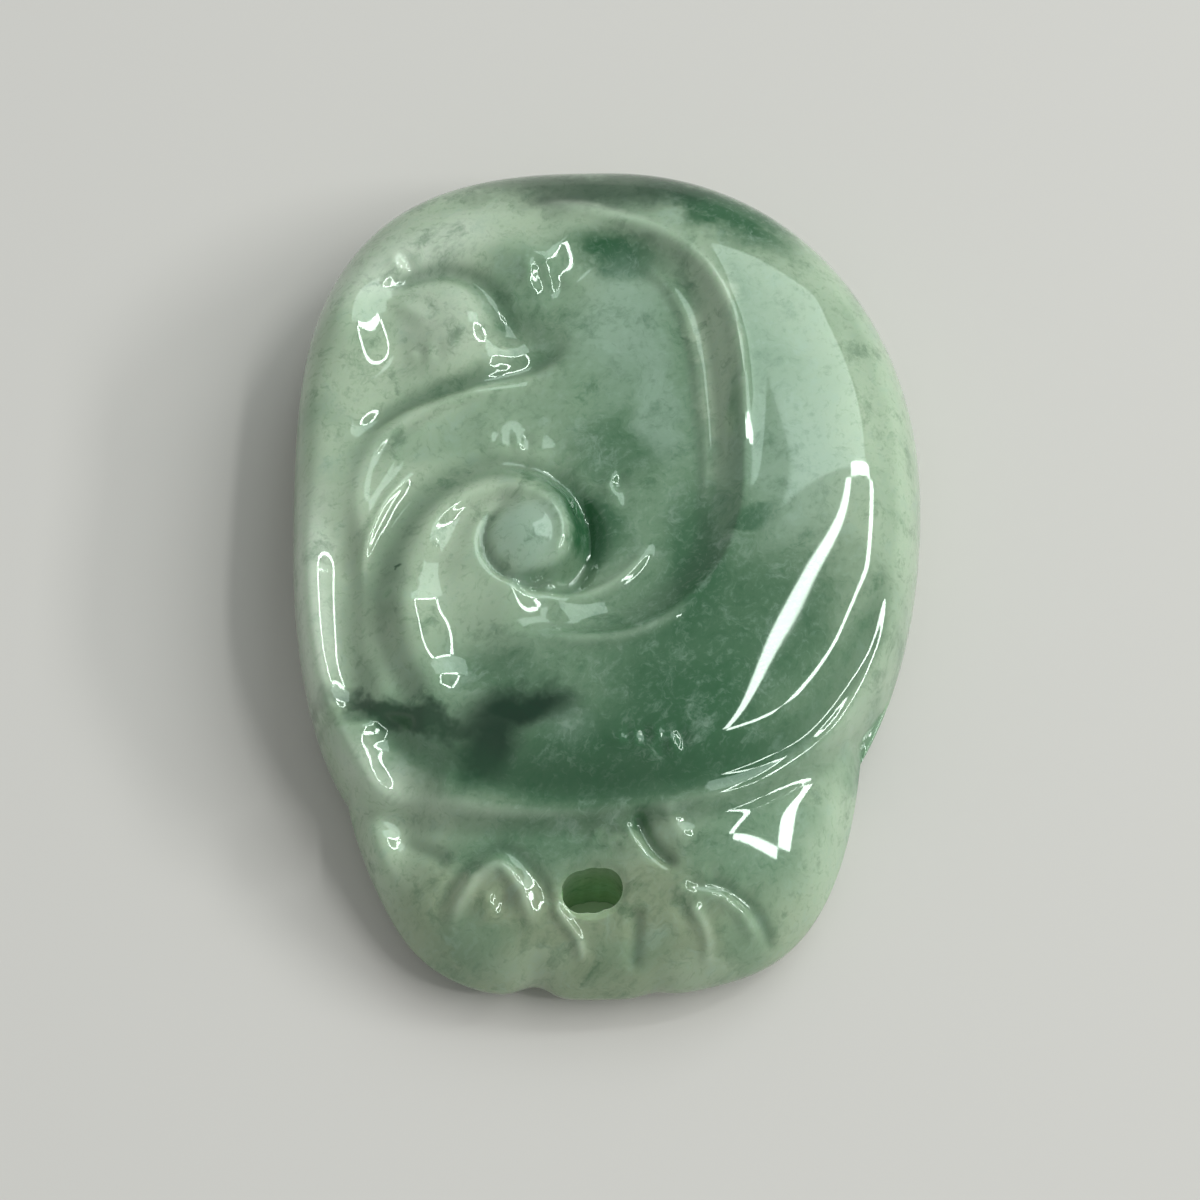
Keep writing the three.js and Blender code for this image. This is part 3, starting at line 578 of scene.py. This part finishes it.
# Mesh
def face_grid(sizes):
    """Points of the carved face, on a square grid laid over the outline and closer together at its edge."""
    columns = np.linspace(-1, 1, sizes.cells_across + 1)
    rows = np.linspace(-1, 1, sizes.cells_along + 1)
    u, v = np.meshgrid(columns, rows, indexing="ij")
    disc_x = u * np.sqrt(1 - v * v / 2)
    disc_y = v * np.sqrt(1 - u * u / 2)
    even = np.minimum(1, np.hypot(disc_x, disc_y))
    crowded = np.sin(even * math.pi / 2)
    share = np.minimum(1, (1 - sizes.edge_crowding) * even + sizes.edge_crowding * crowded)
    turn = np.arctan2(disc_y * HEAD["down"], disc_x * HEAD["left"])
    radius = share * outline_radius(turn)
    x = radius * np.cos(turn)
    y = radius * np.sin(turn)
    return np.stack([x, y, face_height(x, y, share, sizes)], axis=-1)


def grid_edge(across, along):
    """Numbers of the grid's outer points, in order round the outline."""
    edge = [(i, 0) for i in range(across)]
    edge += [(across, j) for j in range(along)]
    edge += [(i, along) for i in range(across, 0, -1)]
    edge += [(0, j) for j in range(along, 0, -1)]
    return [i * (along + 1) + j for i, j in edge]


def pendant_mesh(sizes):
    """The whole pendant without its hole: carved face, rounded underside and flat back, in millimetres."""
    across, along = sizes.cells_across, sizes.cells_along
    points = face_grid(sizes).reshape(-1, 3)
    at = np.arange((across + 1) * (along + 1)).reshape(across + 1, along + 1)
    cells = np.stack([at[:-1, :-1], at[1:, :-1], at[1:, 1:], at[:-1, 1:]], axis=-1).reshape(-1, 4)
    faces = cells.tolist()
    edge = grid_edge(across, along)
    girdle = points[edge]
    ring = edge
    rings = [points]
    count = len(points)
    for k in range(1, UNDERSIDE_RINGS + 1):
        turn = k / UNDERSIDE_RINGS * math.pi / 2
        inset = sizes.back_inset * (1 - math.cos(turn))
        shrink = 1 - inset / np.hypot(girdle[:, 0], girdle[:, 1])
        height = np.full(len(edge), sizes.girdle * (1 - math.sin(turn)))
        rings.append(np.stack([girdle[:, 0] * shrink, girdle[:, 1] * shrink, height], axis=-1))
        below = list(range(count, count + len(edge)))
        count += len(edge)
        for i, here in enumerate(ring):
            ahead = (i + 1) % len(ring)
            faces.append((here, below[i], below[ahead], ring[ahead]))
        ring = below
    faces.append(tuple(reversed(ring)))
    return np.concatenate(rings), faces


def drill_mesh(low, high):
    """A closed drill in the shape of the cord hole, from a low to a high height, in millimetres."""
    middle = np.mean([(drill["x"], drill["y"]) for drill in HOLE_PASSES], axis=0)
    outline = []
    for i in range(HOLE_SIDES):
        turn = 2 * math.pi * i / HOLE_SIDES
        ray = np.array([math.cos(turn), math.sin(turn)])
        reach = 0
        for drill in HOLE_PASSES:
            centre = np.array([drill["x"], drill["y"]]) - middle
            forward = centre @ ray
            reach = max(reach, forward + math.sqrt(drill["radius"] ** 2 - centre @ centre + forward**2))
        outline.append(middle + reach * ray)
    points = [(x, y, z) for z in (low, high) for x, y in outline]
    faces = [tuple(reversed(range(HOLE_SIDES))), tuple(range(HOLE_SIDES, 2 * HOLE_SIDES))]
    for i in range(HOLE_SIDES):
        ahead = (i + 1) % HOLE_SIDES
        faces.append((i, ahead, HOLE_SIDES + ahead, HOLE_SIDES + i))
    return np.array(points), faces


def new_object(name, points, faces):
    """Links a new mesh object whose points are in metres."""
    mesh = bpy.data.meshes.new(name)
    mesh.from_pydata(np.asarray(points).tolist(), [], faces)
    mesh.update()
    made = bpy.data.objects.new(name, mesh)
    bpy.context.scene.collection.objects.link(made)
    return made


def mark_shading_relief(piece, points, sizes):
    """Keeps on the mesh how far the face lies in a groove, down to -1, or on a ridge, up to 1, for the
    painted shade in grooves and the painted highlight on ridges.
    """
    grid = (sizes.cells_across + 1) * (sizes.cells_along + 1)
    relief = line_relief(points[:grid, 0], points[:grid, 1], SHADING_WIDEST_LINE)
    carved = np.zeros(len(points))
    carved[:grid] = np.clip(relief / SHADING_FULL_RELIEF, -1, 1)
    layer = piece.data.attributes.new(SHADING_RELIEF_LAYER, "FLOAT", "POINT")
    layer.data.foreach_set("value", carved)


def drilled(body, drill):
    """Cuts the drill out of the body and removes the drill."""
    cut = body.modifiers.new("Cord hole", "BOOLEAN")
    cut.operation = "DIFFERENCE"
    cut.solver = "EXACT"
    cut.object = drill
    depsgraph = bpy.context.evaluated_depsgraph_get()
    mesh = bpy.data.meshes.new_from_object(body.evaluated_get(depsgraph))
    body.modifiers.clear()
    body.data = mesh
    bpy.data.objects.remove(drill)


def into_frame(points, middle, shrink):
    """Millimetres of the carving to metres of the scene, with the origin under the pendant's middle."""
    return (points - [*middle, 0]) * [*shrink, 1] * MM


# Shader maths
class Wire:
    """An output socket that can be used in sums: values add Math nodes and vectors Vector Math nodes."""

    def __init__(self, tree, socket):
        self.tree = tree
        self.socket = socket

    def joined(self, operation, first, second):
        """One Math or Vector Math node of two operands."""
        if self.socket.type != "VECTOR":
            return node(self.tree, "ShaderNodeMath", {"operation": operation}, {0: first, 1: second})
        pair = [(value,) * 3 if isinstance(value, (int, float)) else value for value in (first, second)]
        return node(self.tree, "ShaderNodeVectorMath", {"operation": operation}, {0: pair[0], 1: pair[1]})

    def __add__(self, other):
        return self.joined("ADD", self, other)

    def __radd__(self, other):
        return self.joined("ADD", other, self)

    def __sub__(self, other):
        return self.joined("SUBTRACT", self, other)

    def __rsub__(self, other):
        return self.joined("SUBTRACT", other, self)

    def __mul__(self, other):
        return self.joined("MULTIPLY", self, other)

    def __rmul__(self, other):
        return self.joined("MULTIPLY", other, self)


def node(tree, kind, settings, inputs, output=0):
    """Adds one node: its settings first, then the values or links of its sockets."""
    made = tree.nodes.new(kind)
    for name, value in settings.items():
        setattr(made, name, value)
    for name, value in inputs.items():
        if isinstance(value, Wire):
            tree.links.new(value.socket, made.inputs[name])
        else:
            made.inputs[name].default_value = value
    return Wire(tree, made.outputs[output])


def noise(tree, place, pattern, output=0):
    """Fractal noise over a place: a value as output 0, or a vector as output 1."""
    inputs = {"Vector": place, **pattern}
    return node(tree, "ShaderNodeTexNoise", {}, inputs, output)


def ramp(tree, value, low, high):
    """Turns a value smoothly from 0 at low to 1 at high, which may be the smaller of the two."""
    inputs = {"Value": value, "From Min": low, "From Max": high}
    return node(tree, "ShaderNodeMapRange", {"interpolation_type": "SMOOTHSTEP"}, inputs)


def blend(tree, share, under, over):
    """Lays one colour over another by a share."""
    settings = {"data_type": "RGBA", "blend_type": "MIX"}
    under = under if isinstance(under, Wire) else (*under, 1)
    return node(tree, "ShaderNodeMix", settings, {0: share, 6: under, 7: (*over, 1)}, 2)


# Jadeite

# Noise in the stone, with its scale per millimetre: how the clouds' edges wander, how the palest and
# the common green drift into each other, the mottling and the fine grain
WANDER = {"Scale": 0.45, "Detail": 4, "Roughness": 0.62}
DRIFT = {"Scale": 0.25, "Detail": 2, "Roughness": 0.55}
MOTTLE = {"Scale": 0.8, "Detail": 5, "Roughness": 0.7}
GRAIN = {"Scale": 3.5, "Detail": 3, "Roughness": 0.65}
DRIFT_SHARE = 0.5

# Values of a noise between which a colour is laid on: full at the low or high one, none at the middle
NOISE_LOW = 0.25
NOISE_MIDDLE = 0.5
NOISE_HIGH = 0.75
MOTTLE_MIDDLE = 0.48
DRIFT_START = 0.45

# A cloud fades out between these shares of its size, and the painted glow in the cord hole between these
# shares of the hole's size and between these heights
CLOUD_FADE = (0.35, 1.25)
HOLE_FADE = (1.03, 1.1)
HOLE_GLOW_HEIGHTS = (2.8, 4)

# A height scale so large that an ellipse is the same at every height
ANY_HEIGHT = 1000

# Soft-edged clouds of colour in the stone, each laid over those before it, some of them painted shade
# and some painted highlight, as marked: colour, centre x and y, half length, half width, angle in
# degrees and strength
CLOUDS = [
    ("tail", -1.0, -12.8, 9.0, 3.6, 0, 0.9),
    ("green", -4.4, -13.2, 1.6, 0.9, -20, 0.6),
    ("green", 4.6, -13.0, 1.4, 1.0, 40, 0.6),
    ("green", 0.6, -13.6, 1.6, 0.6, 0, 0.35),
    ("pale", -2.6, -13.8, 1.6, 0.6, 0, 0.4),
    ("pale", 2.9, -14.1, 1.6, 0.5, 5, 0.4),
    ("pale", -7.8, -10.0, 1.6, 2.4, -20, 0.8),
    ("green", 4.6, -10.2, 2.8, 2.2, 30, 0.9),
    ("green", -2.5, -10.4, 3.6, 1.2, 0, 0.9),
    ("green", 2.4, 3.5, 5.6, 10.0, 0, 0.95),
    ("green", 0.0, -5.5, 8.4, 4.2, 5, 0.9),
    ("green", -7.0, -6.6, 3.0, 1.4, -30, 0.5),
    ("deep", 4.2, -3.6, 6.2, 3.8, 32, 0.75),
    ("deep", 0.8, -7.7, 7.4, 1.9, 5, 0.85),
    # Painted shade along the foot of the channel's outer bank on the right
    ("deep", 2.9, -0.6, 1.2, 2.8, 0, 0.75),
    ("deep", 0.3, 3.4, 2.0, 1.4, 0, 0.5),
    ("deep", 4.7, 0.4, 0.7, 0.4, 0, 0.8),
    # Painted shade in the hollow right of the curl
    ("deep", -2.8, 7.6, 1.9, 1.2, -20, 0.5),
    # Painted shade in the groove right of the bead
    ("deep", -0.7, 0.7, 1.1, 2.0, 40, 0.85),
    ("deep", -3.2, -5.0, 2.6, 1.0, -25, 0.5),
    ("deep", -4.9, 5.6, 3.0, 0.5, 25, 0.25),
    ("deep", 0.1, 10.3, 2.0, 1.0, -5, 1.0),
    ("deep", 3.9, 12.1, 3.4, 1.1, -28, 0.95),
    ("milk", 0.6, 7.6, 1.8, 2.8, 0, 0.55),
    ("milk", -1.4, -6.7, 1.2, 0.7, 5, 0.15),
    ("milk", -2.9, -0.3, 1.5, 1.5, 0, 0.7),
    ("milk", 6.2, 2.4, 2.0, 3.0, 0, 0.4),
    ("milk", 1.9, 4.6, 1.0, 2.0, 10, 0.5),
    ("pale", 3.6, 6.6, 0.7, 4.6, 4, 0.8),
    ("pale", -5.4, 1.1, 2.4, 1.8, 40, 0.85),
    # These four are painted highlight: lighter patches where the upper curl band, the left rim, the curl
    # and the lower-left lip catch the light
    ("bright", -6.6, 10.2, 3.4, 1.2, 25, 0.9),
    ("bright", -9.9, -2.4, 1.0, 5.0, -3, 1.0),
    ("bright", -5.6, 8.0, 2.0, 1.8, 0, 0.5),
    ("bright", -7.6, -7.6, 1.6, 0.8, -45, 0.5),
    ("green", 9.0, -6.2, 0.9, 2.0, -20, 0.9),
    ("green", -2.6, 9.3, 1.9, 1.6, 0, 0.8),
    ("green", -3.6, 4.2, 3.6, 1.3, 20, 0.5),
    ("deep", -1.5, -10.0, 3.6, 0.8, 0, 0.3),
    ("deep", 2.6, -5.6, 2.6, 1.2, 0, 0.5),
    ("deep", 0.0, -9.2, 5.0, 0.5, 0, 0.35),
]

# Dark inclusions, a dark band along the top rim and a dark line under the lip that is partly painted
# shadow, laid over the mottling, with the same numbers
INKS = [
    # A dark band along the top rim
    (-0.4, 13.1, 5.2, 1.3, -1, 0.78),
    (-2.9, -6.0, 2.1, 0.9, 8, 1.0),
    (-3.9, -7.3, 1.3, 1.0, 60, 0.95),
    # A thin dark fibre along the shoulder groove, darkened further as painted shadow under the lip
    (-6.6, -6.0, 3.4, 0.5, -16, 0.85),
    (-6.9, -1.1, 0.1, 0.1, 0, 0.8),
]


def linear(colour):
    """A screen colour from 0 to 255 as the linear colour that a shader takes."""
    channels = [channel / 255 for channel in colour]
    return tuple(c / 12.92 if c <= 0.04045 else ((c + 0.055) / 1.055) ** 2.4 for c in channels)


def ellipse(tree, place, x, y, half_length, half_width, angle=0):
    """Distance from the middle of an upright elliptical column, 1 on its surface."""
    inputs = {
        "Vector": place,
        "Location": (x, y, 0),
        "Rotation": (0, 0, math.radians(angle)),
        "Scale": (half_length, half_width, ANY_HEIGHT),
    }
    local = node(tree, "ShaderNodeMapping", {"vector_type": "TEXTURE"}, inputs)
    return node(tree, "ShaderNodeVectorMath", {"operation": "LENGTH"}, {0: local}, 1)


def cloud_mask(tree, place, shape):
    """One soft cloud: its strength in the middle, falling to 0 outside it."""
    *outline, strength = shape
    away = ellipse(tree, place, *outline)
    return ramp(tree, away, CLOUD_FADE[1], CLOUD_FADE[0]) * strength


def hole_mask(tree, place):
    """The lower wall of the cord hole, where the glow is painted: 1 on it and 0 away from it."""
    first, middle, last = HOLE_PASSES
    half_length = (last["x"] + last["radius"] - first["x"] + first["radius"]) / 2
    x = first["x"] - first["radius"] + half_length
    away = ellipse(tree, place, x, middle["y"], half_length, middle["radius"])
    height = node(tree, "ShaderNodeSeparateXYZ", {}, {"Vector": place}, 2)
    inside = ramp(tree, away, HOLE_FADE[1], HOLE_FADE[0])
    return inside * ramp(tree, height, HOLE_GLOW_HEIGHTS[1], HOLE_GLOW_HEIGHTS[0])


def speckled(tree, colour, pattern, strength, stone, middle=NOISE_MIDDLE):
    """Lays deep green where a noise is high and milky green where it is low."""
    dark = ramp(tree, pattern, NOISE_MIDDLE, NOISE_HIGH) * strength
    colour = blend(tree, dark, colour, stone.deep)
    light = ramp(tree, pattern, middle, NOISE_LOW) * strength
    return blend(tree, light, colour, stone.milk)


def stone_colour(tree, place, stone):
    """Colour of the stone: drifting greens, clouds (some of them painted shade and highlight), mottling,
    grain and inclusions, then painted shade in the grooves and a painted highlight on the ridges.
    """
    wander = noise(tree, place, WANDER, 1) - 0.5
    cloudy = place + wander * stone.wander
    drift = noise(tree, cloudy, DRIFT)
    share = ramp(tree, drift, DRIFT_START, NOISE_HIGH) * DRIFT_SHARE
    colour = blend(tree, share, stone.pale, stone.green)
    for name, *shape in CLOUDS:
        colour = blend(tree, cloud_mask(tree, cloudy, shape), colour, getattr(stone, name))
    colour = speckled(tree, colour, noise(tree, cloudy, MOTTLE), stone.mottle, stone, MOTTLE_MIDDLE)
    colour = speckled(tree, colour, noise(tree, cloudy, GRAIN), stone.grain, stone)
    for shape in INKS:
        colour = blend(tree, cloud_mask(tree, cloudy, shape), colour, stone.ink)
    # Painted shade darkens the grooves towards deep green, and a painted highlight lightens the ridges
    carved = node(tree, "ShaderNodeAttribute", {"attribute_name": SHADING_RELIEF_LAYER}, {}, 2)
    colour = blend(tree, ramp(tree, carved, 0, -1) * stone.shade, colour, stone.deep)
    return blend(tree, ramp(tree, carved, 0, 1) * stone.ridge_highlight, colour, stone.bright)


def jadeite(stone):
    """Mottled green jadeite under a glassy polish, with painted shade in its grooves, a painted highlight
    on its ridges and a painted glow in the wall of its cord hole.
    """
    material = bpy.data.materials.new("Jadeite")
    material.use_nodes = True
    tree = material.node_tree
    shader = tree.nodes["Principled BSDF"]
    place = node(tree, "ShaderNodeTexCoord", {}, {}, 3) * (1 / MM)
    colour = stone_colour(tree, place, stone)
    tree.links.new(colour.socket, shader.inputs["Base Color"])
    # Painted glow: emission in the lower wall of the cord hole, standing in for light through the stone
    light = blend(tree, hole_mask(tree, place), (0, 0, 0), stone.painted_hole_glow)
    tree.links.new(light.socket, shader.inputs["Emission Color"])
    finish = {
        "Emission Strength": 1,
        "Roughness": stone.polish,
        "IOR": stone.refraction,
        "Specular Tint": (*stone.sheen, 1),
        "Subsurface Weight": stone.glow,
        "Subsurface Radius": stone.spread,
        "Subsurface Scale": stone.depth,
    }
    for name, value in finish.items():
        shader.inputs[name].default_value = value
    return material


# Settings
class RuyiCarving(bpy.types.PropertyGroup):
    """Sizes of the carving, in millimetres, and of its mesh."""

    girdle: FloatProperty(
        name="Girdle height",
        description="Height of the widest outline over the floor, mm",
        default=1.5,
        min=0.5,
    )
    head_rise: FloatProperty(
        name="Head rise", description="Height of the head over the girdle, mm", default=4.65, min=0
    )
    tail_rise: FloatProperty(
        name="Tail rise", description="Height of the tail over the girdle, mm", default=3.35, min=0
    )
    back_inset: FloatProperty(
        name="Back inset",
        description="How far the flat back lies inside the outline, mm",
        default=1.1,
        min=0,
    )
    lip_depth: FloatProperty(
        name="Hole lip depth", description="How far the hole's lip is worn down, mm", default=0.1, min=0
    )
    lip_width: FloatProperty(
        name="Hole lip width", description="How wide the hole's worn lip is, mm", default=0.16, min=0.01
    )
    cells_across: IntProperty(
        name="Cells across", description="Mesh cells across the face", default=240, min=40
    )
    cells_along: IntProperty(
        name="Cells along", description="Mesh cells along the face", default=320, min=40
    )
    edge_crowding: FloatProperty(
        name="Edge crowding",
        description="How much the cells crowd to the edge",
        default=0.6,
        min=0,
        max=1,
        subtype="FACTOR",
    )


class RuyiStone(bpy.types.PropertyGroup):
    """Colours and polish of the jadeite."""

    pale: FloatVectorProperty(
        name="Pale", description="The palest green", subtype="COLOR", default=linear((170, 190, 164))
    )
    green: FloatVectorProperty(
        name="Green", description="The common green", subtype="COLOR", default=linear((110, 142, 114))
    )
    # Deep green is the stone's own colour in clouds and mottling, and also the painted shade in grooves and
    # hollows
    deep: FloatVectorProperty(
        name="Deep",
        description="Deep green clouds and grooves",
        subtype="COLOR",
        default=linear((36, 88, 54)),
    )
    # Ink also paints the dark band along the top rim and the painted shadow line under the lip
    ink: FloatVectorProperty(
        name="Ink", description="The dark inclusions", subtype="COLOR", default=linear((2, 46, 24))
    )
    milk: FloatVectorProperty(
        name="Milk", description="The milky clouds", subtype="COLOR", default=linear((150, 176, 158))
    )
    tail: FloatVectorProperty(
        name="Tail", description="The yellower tail", subtype="COLOR", default=linear((136, 152, 122))
    )
    # Painted highlight: this pale green lightens the ridges and the spots where the stone catches the light
    bright: FloatVectorProperty(
        name="Bright",
        description="Pale green of ridges and rims",
        subtype="COLOR",
        default=linear((192, 208, 188)),
    )
    # Painted glow: an emission colour in the cord hole's wall, standing in for light shining through the
    # stone
    painted_hole_glow: FloatVectorProperty(
        name="Hole light",
        description="Light that comes through the stone inside the cord hole",
        subtype="COLOR",
        default=(0.13, 0.25, 0.11),
    )
    sheen: FloatVectorProperty(
        name="Sheen",
        description="Tint of what the polish mirrors",
        subtype="COLOR",
        default=(0.85, 1, 0.9),
    )
    spread: FloatVectorProperty(
        name="Spread", description="How far red, green and blue light spread", default=(0.7, 1, 0.75)
    )
    depth: FloatProperty(
        name="Depth", description="How far light travels in the stone", default=0.0007, unit="LENGTH"
    )
    glow: FloatProperty(
        name="Glow", description="Share of light that enters the stone", default=0.6, subtype="FACTOR"
    )
    polish: FloatProperty(
        name="Polish", description="Roughness of the polish", default=0.05, subtype="FACTOR"
    )
    refraction: FloatProperty(name="Refraction", description="Index of refraction", default=1.66)
    wander: FloatProperty(
        name="Wander", description="How far the clouds' edges wander, mm", default=3
    )
    mottle: FloatProperty(
        name="Mottle", description="Strength of the mottling", default=0.5, subtype="FACTOR"
    )
    grain: FloatProperty(
        name="Grain", description="Strength of the fine grain", default=0.24, subtype="FACTOR"
    )
    # Painted shade: how far the grooves are darkened towards deep green
    shade: FloatProperty(
        name="Shade", description="How much the grooves darken", default=0.45, subtype="FACTOR"
    )
    # Painted highlight: how far the ridges are lightened towards the bright green
    ridge_highlight: FloatProperty(
        name="Bloom", description="How much the ridges lighten", default=0.45, subtype="FACTOR"
    )


class RuyiStage(bpy.types.PropertyGroup):
    """The floor, the lights and the camera."""

    floor_size: FloatProperty(
        name="Floor size", description="Side of the floor", default=2, unit="LENGTH"
    )
    floor_colour: FloatVectorProperty(
        name="Floor colour",
        description="Colour of the floor",
        subtype="COLOR",
        default=linear((205, 204, 199)),
    )
    sky_colour: FloatVectorProperty(
        name="Sky colour",
        description="Colour of the light all round",
        subtype="COLOR",
        default=(0.92, 0.93, 0.93),
    )
    sky_strength: FloatProperty(
        name="Sky strength", description="Strength of the light all round", default=0.42, min=0
    )
    back_power: FloatProperty(
        name="Back power", description="Power of the soft light behind", default=0.9, unit="POWER"
    )
    window_power: FloatProperty(
        name="Window power", description="Watts of each square metre of the window's strips", default=52
    )
    elevation: FloatProperty(
        name="Elevation",
        description="Camera's angle above the floor",
        default=math.radians(70),
        subtype="ANGLE",
    )
    distance: FloatProperty(
        name="Distance", description="From camera to target", default=0.1344, unit="LENGTH"
    )
    lens: FloatProperty(name="Lens", description="Focal length, mm", default=120)
    target: FloatVectorProperty(
        name="Target",
        description="Where the camera looks",
        default=(-0.00026, -0.00134, 0.003),
        subtype="XYZ",
    )


class RUYI_OT_pendant(bpy.types.Operator):
    """Carve the pendant, drill its cord hole and finish it in jadeite"""

    bl_idname = "ruyi.pendant"
    bl_label = "Carve Pendant"

    def execute(self, context):
        sizes = context.scene.ruyi_carving
        points, faces = pendant_mesh(sizes)
        low = points.min(axis=0)
        high = points.max(axis=0)
        middle = (low[:2] + high[:2]) / 2
        room = np.array((CAD_BOX[1] - CAD_BOX[0]) / MM)
        shrink = np.minimum(1, room[:2] / (high[:2] - low[:2]))
        piece = new_object("carved_pendant", into_frame(points, middle, shrink), faces)
        mark_shading_relief(piece, points, sizes)
        drill_points, drill_faces = drill_mesh(-high[2], 2 * high[2])
        drill = new_object("cord_drill", into_frame(drill_points, middle, shrink), drill_faces)
        drilled(piece, drill)
        piece.data.shade_smooth()
        piece.data.set_sharp_from_angle(angle=CREASE_ANGLE)
        piece.data.materials.clear()
        piece.data.materials.append(jadeite(context.scene.ruyi_stone))
        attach(piece, BODY)
        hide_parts(CAD_NODE)
        return {"FINISHED"}


# Stage

# Lights, by their direction from the pendant, with distances and sizes in metres
SOFT_BACK = dict(
    direction=(0.42, 0.56, 0.71), distance=0.6, size=(0.36, 0.32), colour=(0.9, 0.98, 0.98)
)
WINDOW = dict(direction=(0.679, 0.04, 0.735), distance=0.5)
WINDOW_HALF_WIDTH = 0.105
WINDOW_HALF_HEIGHT = 0.135
THIN_STRIP = 0.032
WIDE_STRIP = 0.06

FLOOR_ROUGHNESS = 0.9
FLOOR_SPECULAR = 0.2

# The camera's sensor in millimetres and its near and far ends of sight in metres
SENSOR_WIDTH = 36
CLIP_START = 0.01
CLIP_END = 10


def area_light(name, direction, distance, size, power, colour=(1, 1, 1), aside=(0, 0)):
    """A rectangular light in a direction from the pendant, moved aside in its own plane."""
    data = bpy.data.lights.new(name, "AREA")
    data.shape = "RECTANGLE"
    data.size, data.size_y = size
    data.energy = power
    data.color = colour
    light = bpy.data.objects.new(name, data)
    bpy.context.scene.collection.objects.link(light)
    toward = Vector(direction).normalized()
    side = Vector((0, 1, 0)).cross(toward).normalized()
    up = toward.cross(side)
    axes = Matrix((side, up, toward)).transposed()
    place = toward * distance + side * aside[0] + up * aside[1]
    light.matrix_world = Matrix.Translation(place) @ axes.to_4x4()


def window_light(stage):
    """Four strips round an open window, which the polish mirrors as bright outlines."""
    width = 2 * WINDOW_HALF_WIDTH
    height = 2 * WINDOW_HALF_HEIGHT
    strips = [
        ((WIDE_STRIP, height), (WINDOW_HALF_WIDTH + WIDE_STRIP / 2, 0)),
        ((THIN_STRIP, height), (-WINDOW_HALF_WIDTH - THIN_STRIP / 2, 0)),
        ((width, THIN_STRIP), (0, WINDOW_HALF_HEIGHT + THIN_STRIP / 2)),
        ((width, THIN_STRIP), (0, -WINDOW_HALF_HEIGHT - THIN_STRIP / 2)),
    ]
    for i, (size, aside) in enumerate(strips):
        power = stage.window_power * size[0] * size[1]
        area_light(f"panel_{i}", size=size, power=power, aside=aside, **WINDOW)


def sky(stage):
    """Even light from all round."""
    world = bpy.data.worlds.new("Studio")
    world.use_nodes = True
    background = world.node_tree.nodes["Background"]
    background.inputs["Color"].default_value = (*stage.sky_colour, 1)
    background.inputs["Strength"].default_value = stage.sky_strength
    bpy.context.scene.world = world


def studio_floor(stage):
    """A plain pale floor."""
    half = stage.floor_size / 2
    corners = [(-half, -half, 0), (half, -half, 0), (half, half, 0), (-half, half, 0)]
    floor = new_object("studio_floor", corners, [(0, 1, 2, 3)])
    material = bpy.data.materials.new("Pale floor")
    material.use_nodes = True
    shader = material.node_tree.nodes["Principled BSDF"]
    shader.inputs["Base Color"].default_value = (*stage.floor_colour, 1)
    shader.inputs["Roughness"].default_value = FLOOR_ROUGHNESS
    shader.inputs["Specular IOR Level"].default_value = FLOOR_SPECULAR
    floor.data.materials.append(material)


def studio_camera(stage):
    """The camera, looking down at the carved face."""
    data = bpy.data.cameras.new("Camera")
    data.lens = stage.lens
    data.sensor_width = SENSOR_WIDTH
    data.clip_start = CLIP_START
    data.clip_end = CLIP_END
    camera = bpy.data.objects.new("Camera", data)
    bpy.context.scene.collection.objects.link(camera)
    forward = Vector((0, math.cos(stage.elevation), -math.sin(stage.elevation)))
    camera.location = Vector(stage.target) - forward * stage.distance
    camera.rotation_euler = forward.to_track_quat("-Z", "Y").to_euler()
    bpy.context.scene.camera = camera


class RUYI_OT_stage(bpy.types.Operator):
    """Lay the floor, hang the lights and place the camera"""

    bl_idname = "ruyi.stage"
    bl_label = "Set Stage"

    def execute(self, context):
        scene = context.scene
        stage = scene.ruyi_stage
        studio_floor(stage)
        studio_camera(stage)
        sky(stage)
        area_light("soft_back", power=stage.back_power, **SOFT_BACK)
        window_light(stage)
        scene.view_settings.view_transform = "Standard"
        scene.view_settings.look = "None"
        return {"FINISHED"}


class RUYI_PT_sidebar(bpy.types.Panel):
    """Lists the steps that build the pendant"""

    bl_idname = "RUYI_PT_sidebar"
    bl_label = "Ruyi Pendant"
    bl_space_type = "VIEW_3D"
    bl_region_type = "UI"
    bl_category = "Pendant"

    def draw(self, context):
        column = self.layout.column()
        column.operator(RUYI_OT_pendant.bl_idname)
        column.operator(RUYI_OT_stage.bl_idname)


CLASSES = (RuyiCarving, RuyiStone, RuyiStage, RUYI_OT_pendant, RUYI_OT_stage, RUYI_PT_sidebar)


def register():
    for cls in CLASSES:
        bpy.utils.register_class(cls)
    bpy.types.Scene.ruyi_carving = PointerProperty(type=RuyiCarving)
    bpy.types.Scene.ruyi_stone = PointerProperty(type=RuyiStone)
    bpy.types.Scene.ruyi_stage = PointerProperty(type=RuyiStage)


def unregister():
    del bpy.types.Scene.ruyi_carving
    del bpy.types.Scene.ruyi_stone
    del bpy.types.Scene.ruyi_stage
    for cls in reversed(CLASSES):
        bpy.utils.unregister_class(cls)


def main():
    register()
    bpy.ops.ruyi.pendant()
    bpy.ops.ruyi.stage()


if __name__ == "__main__":
    main()
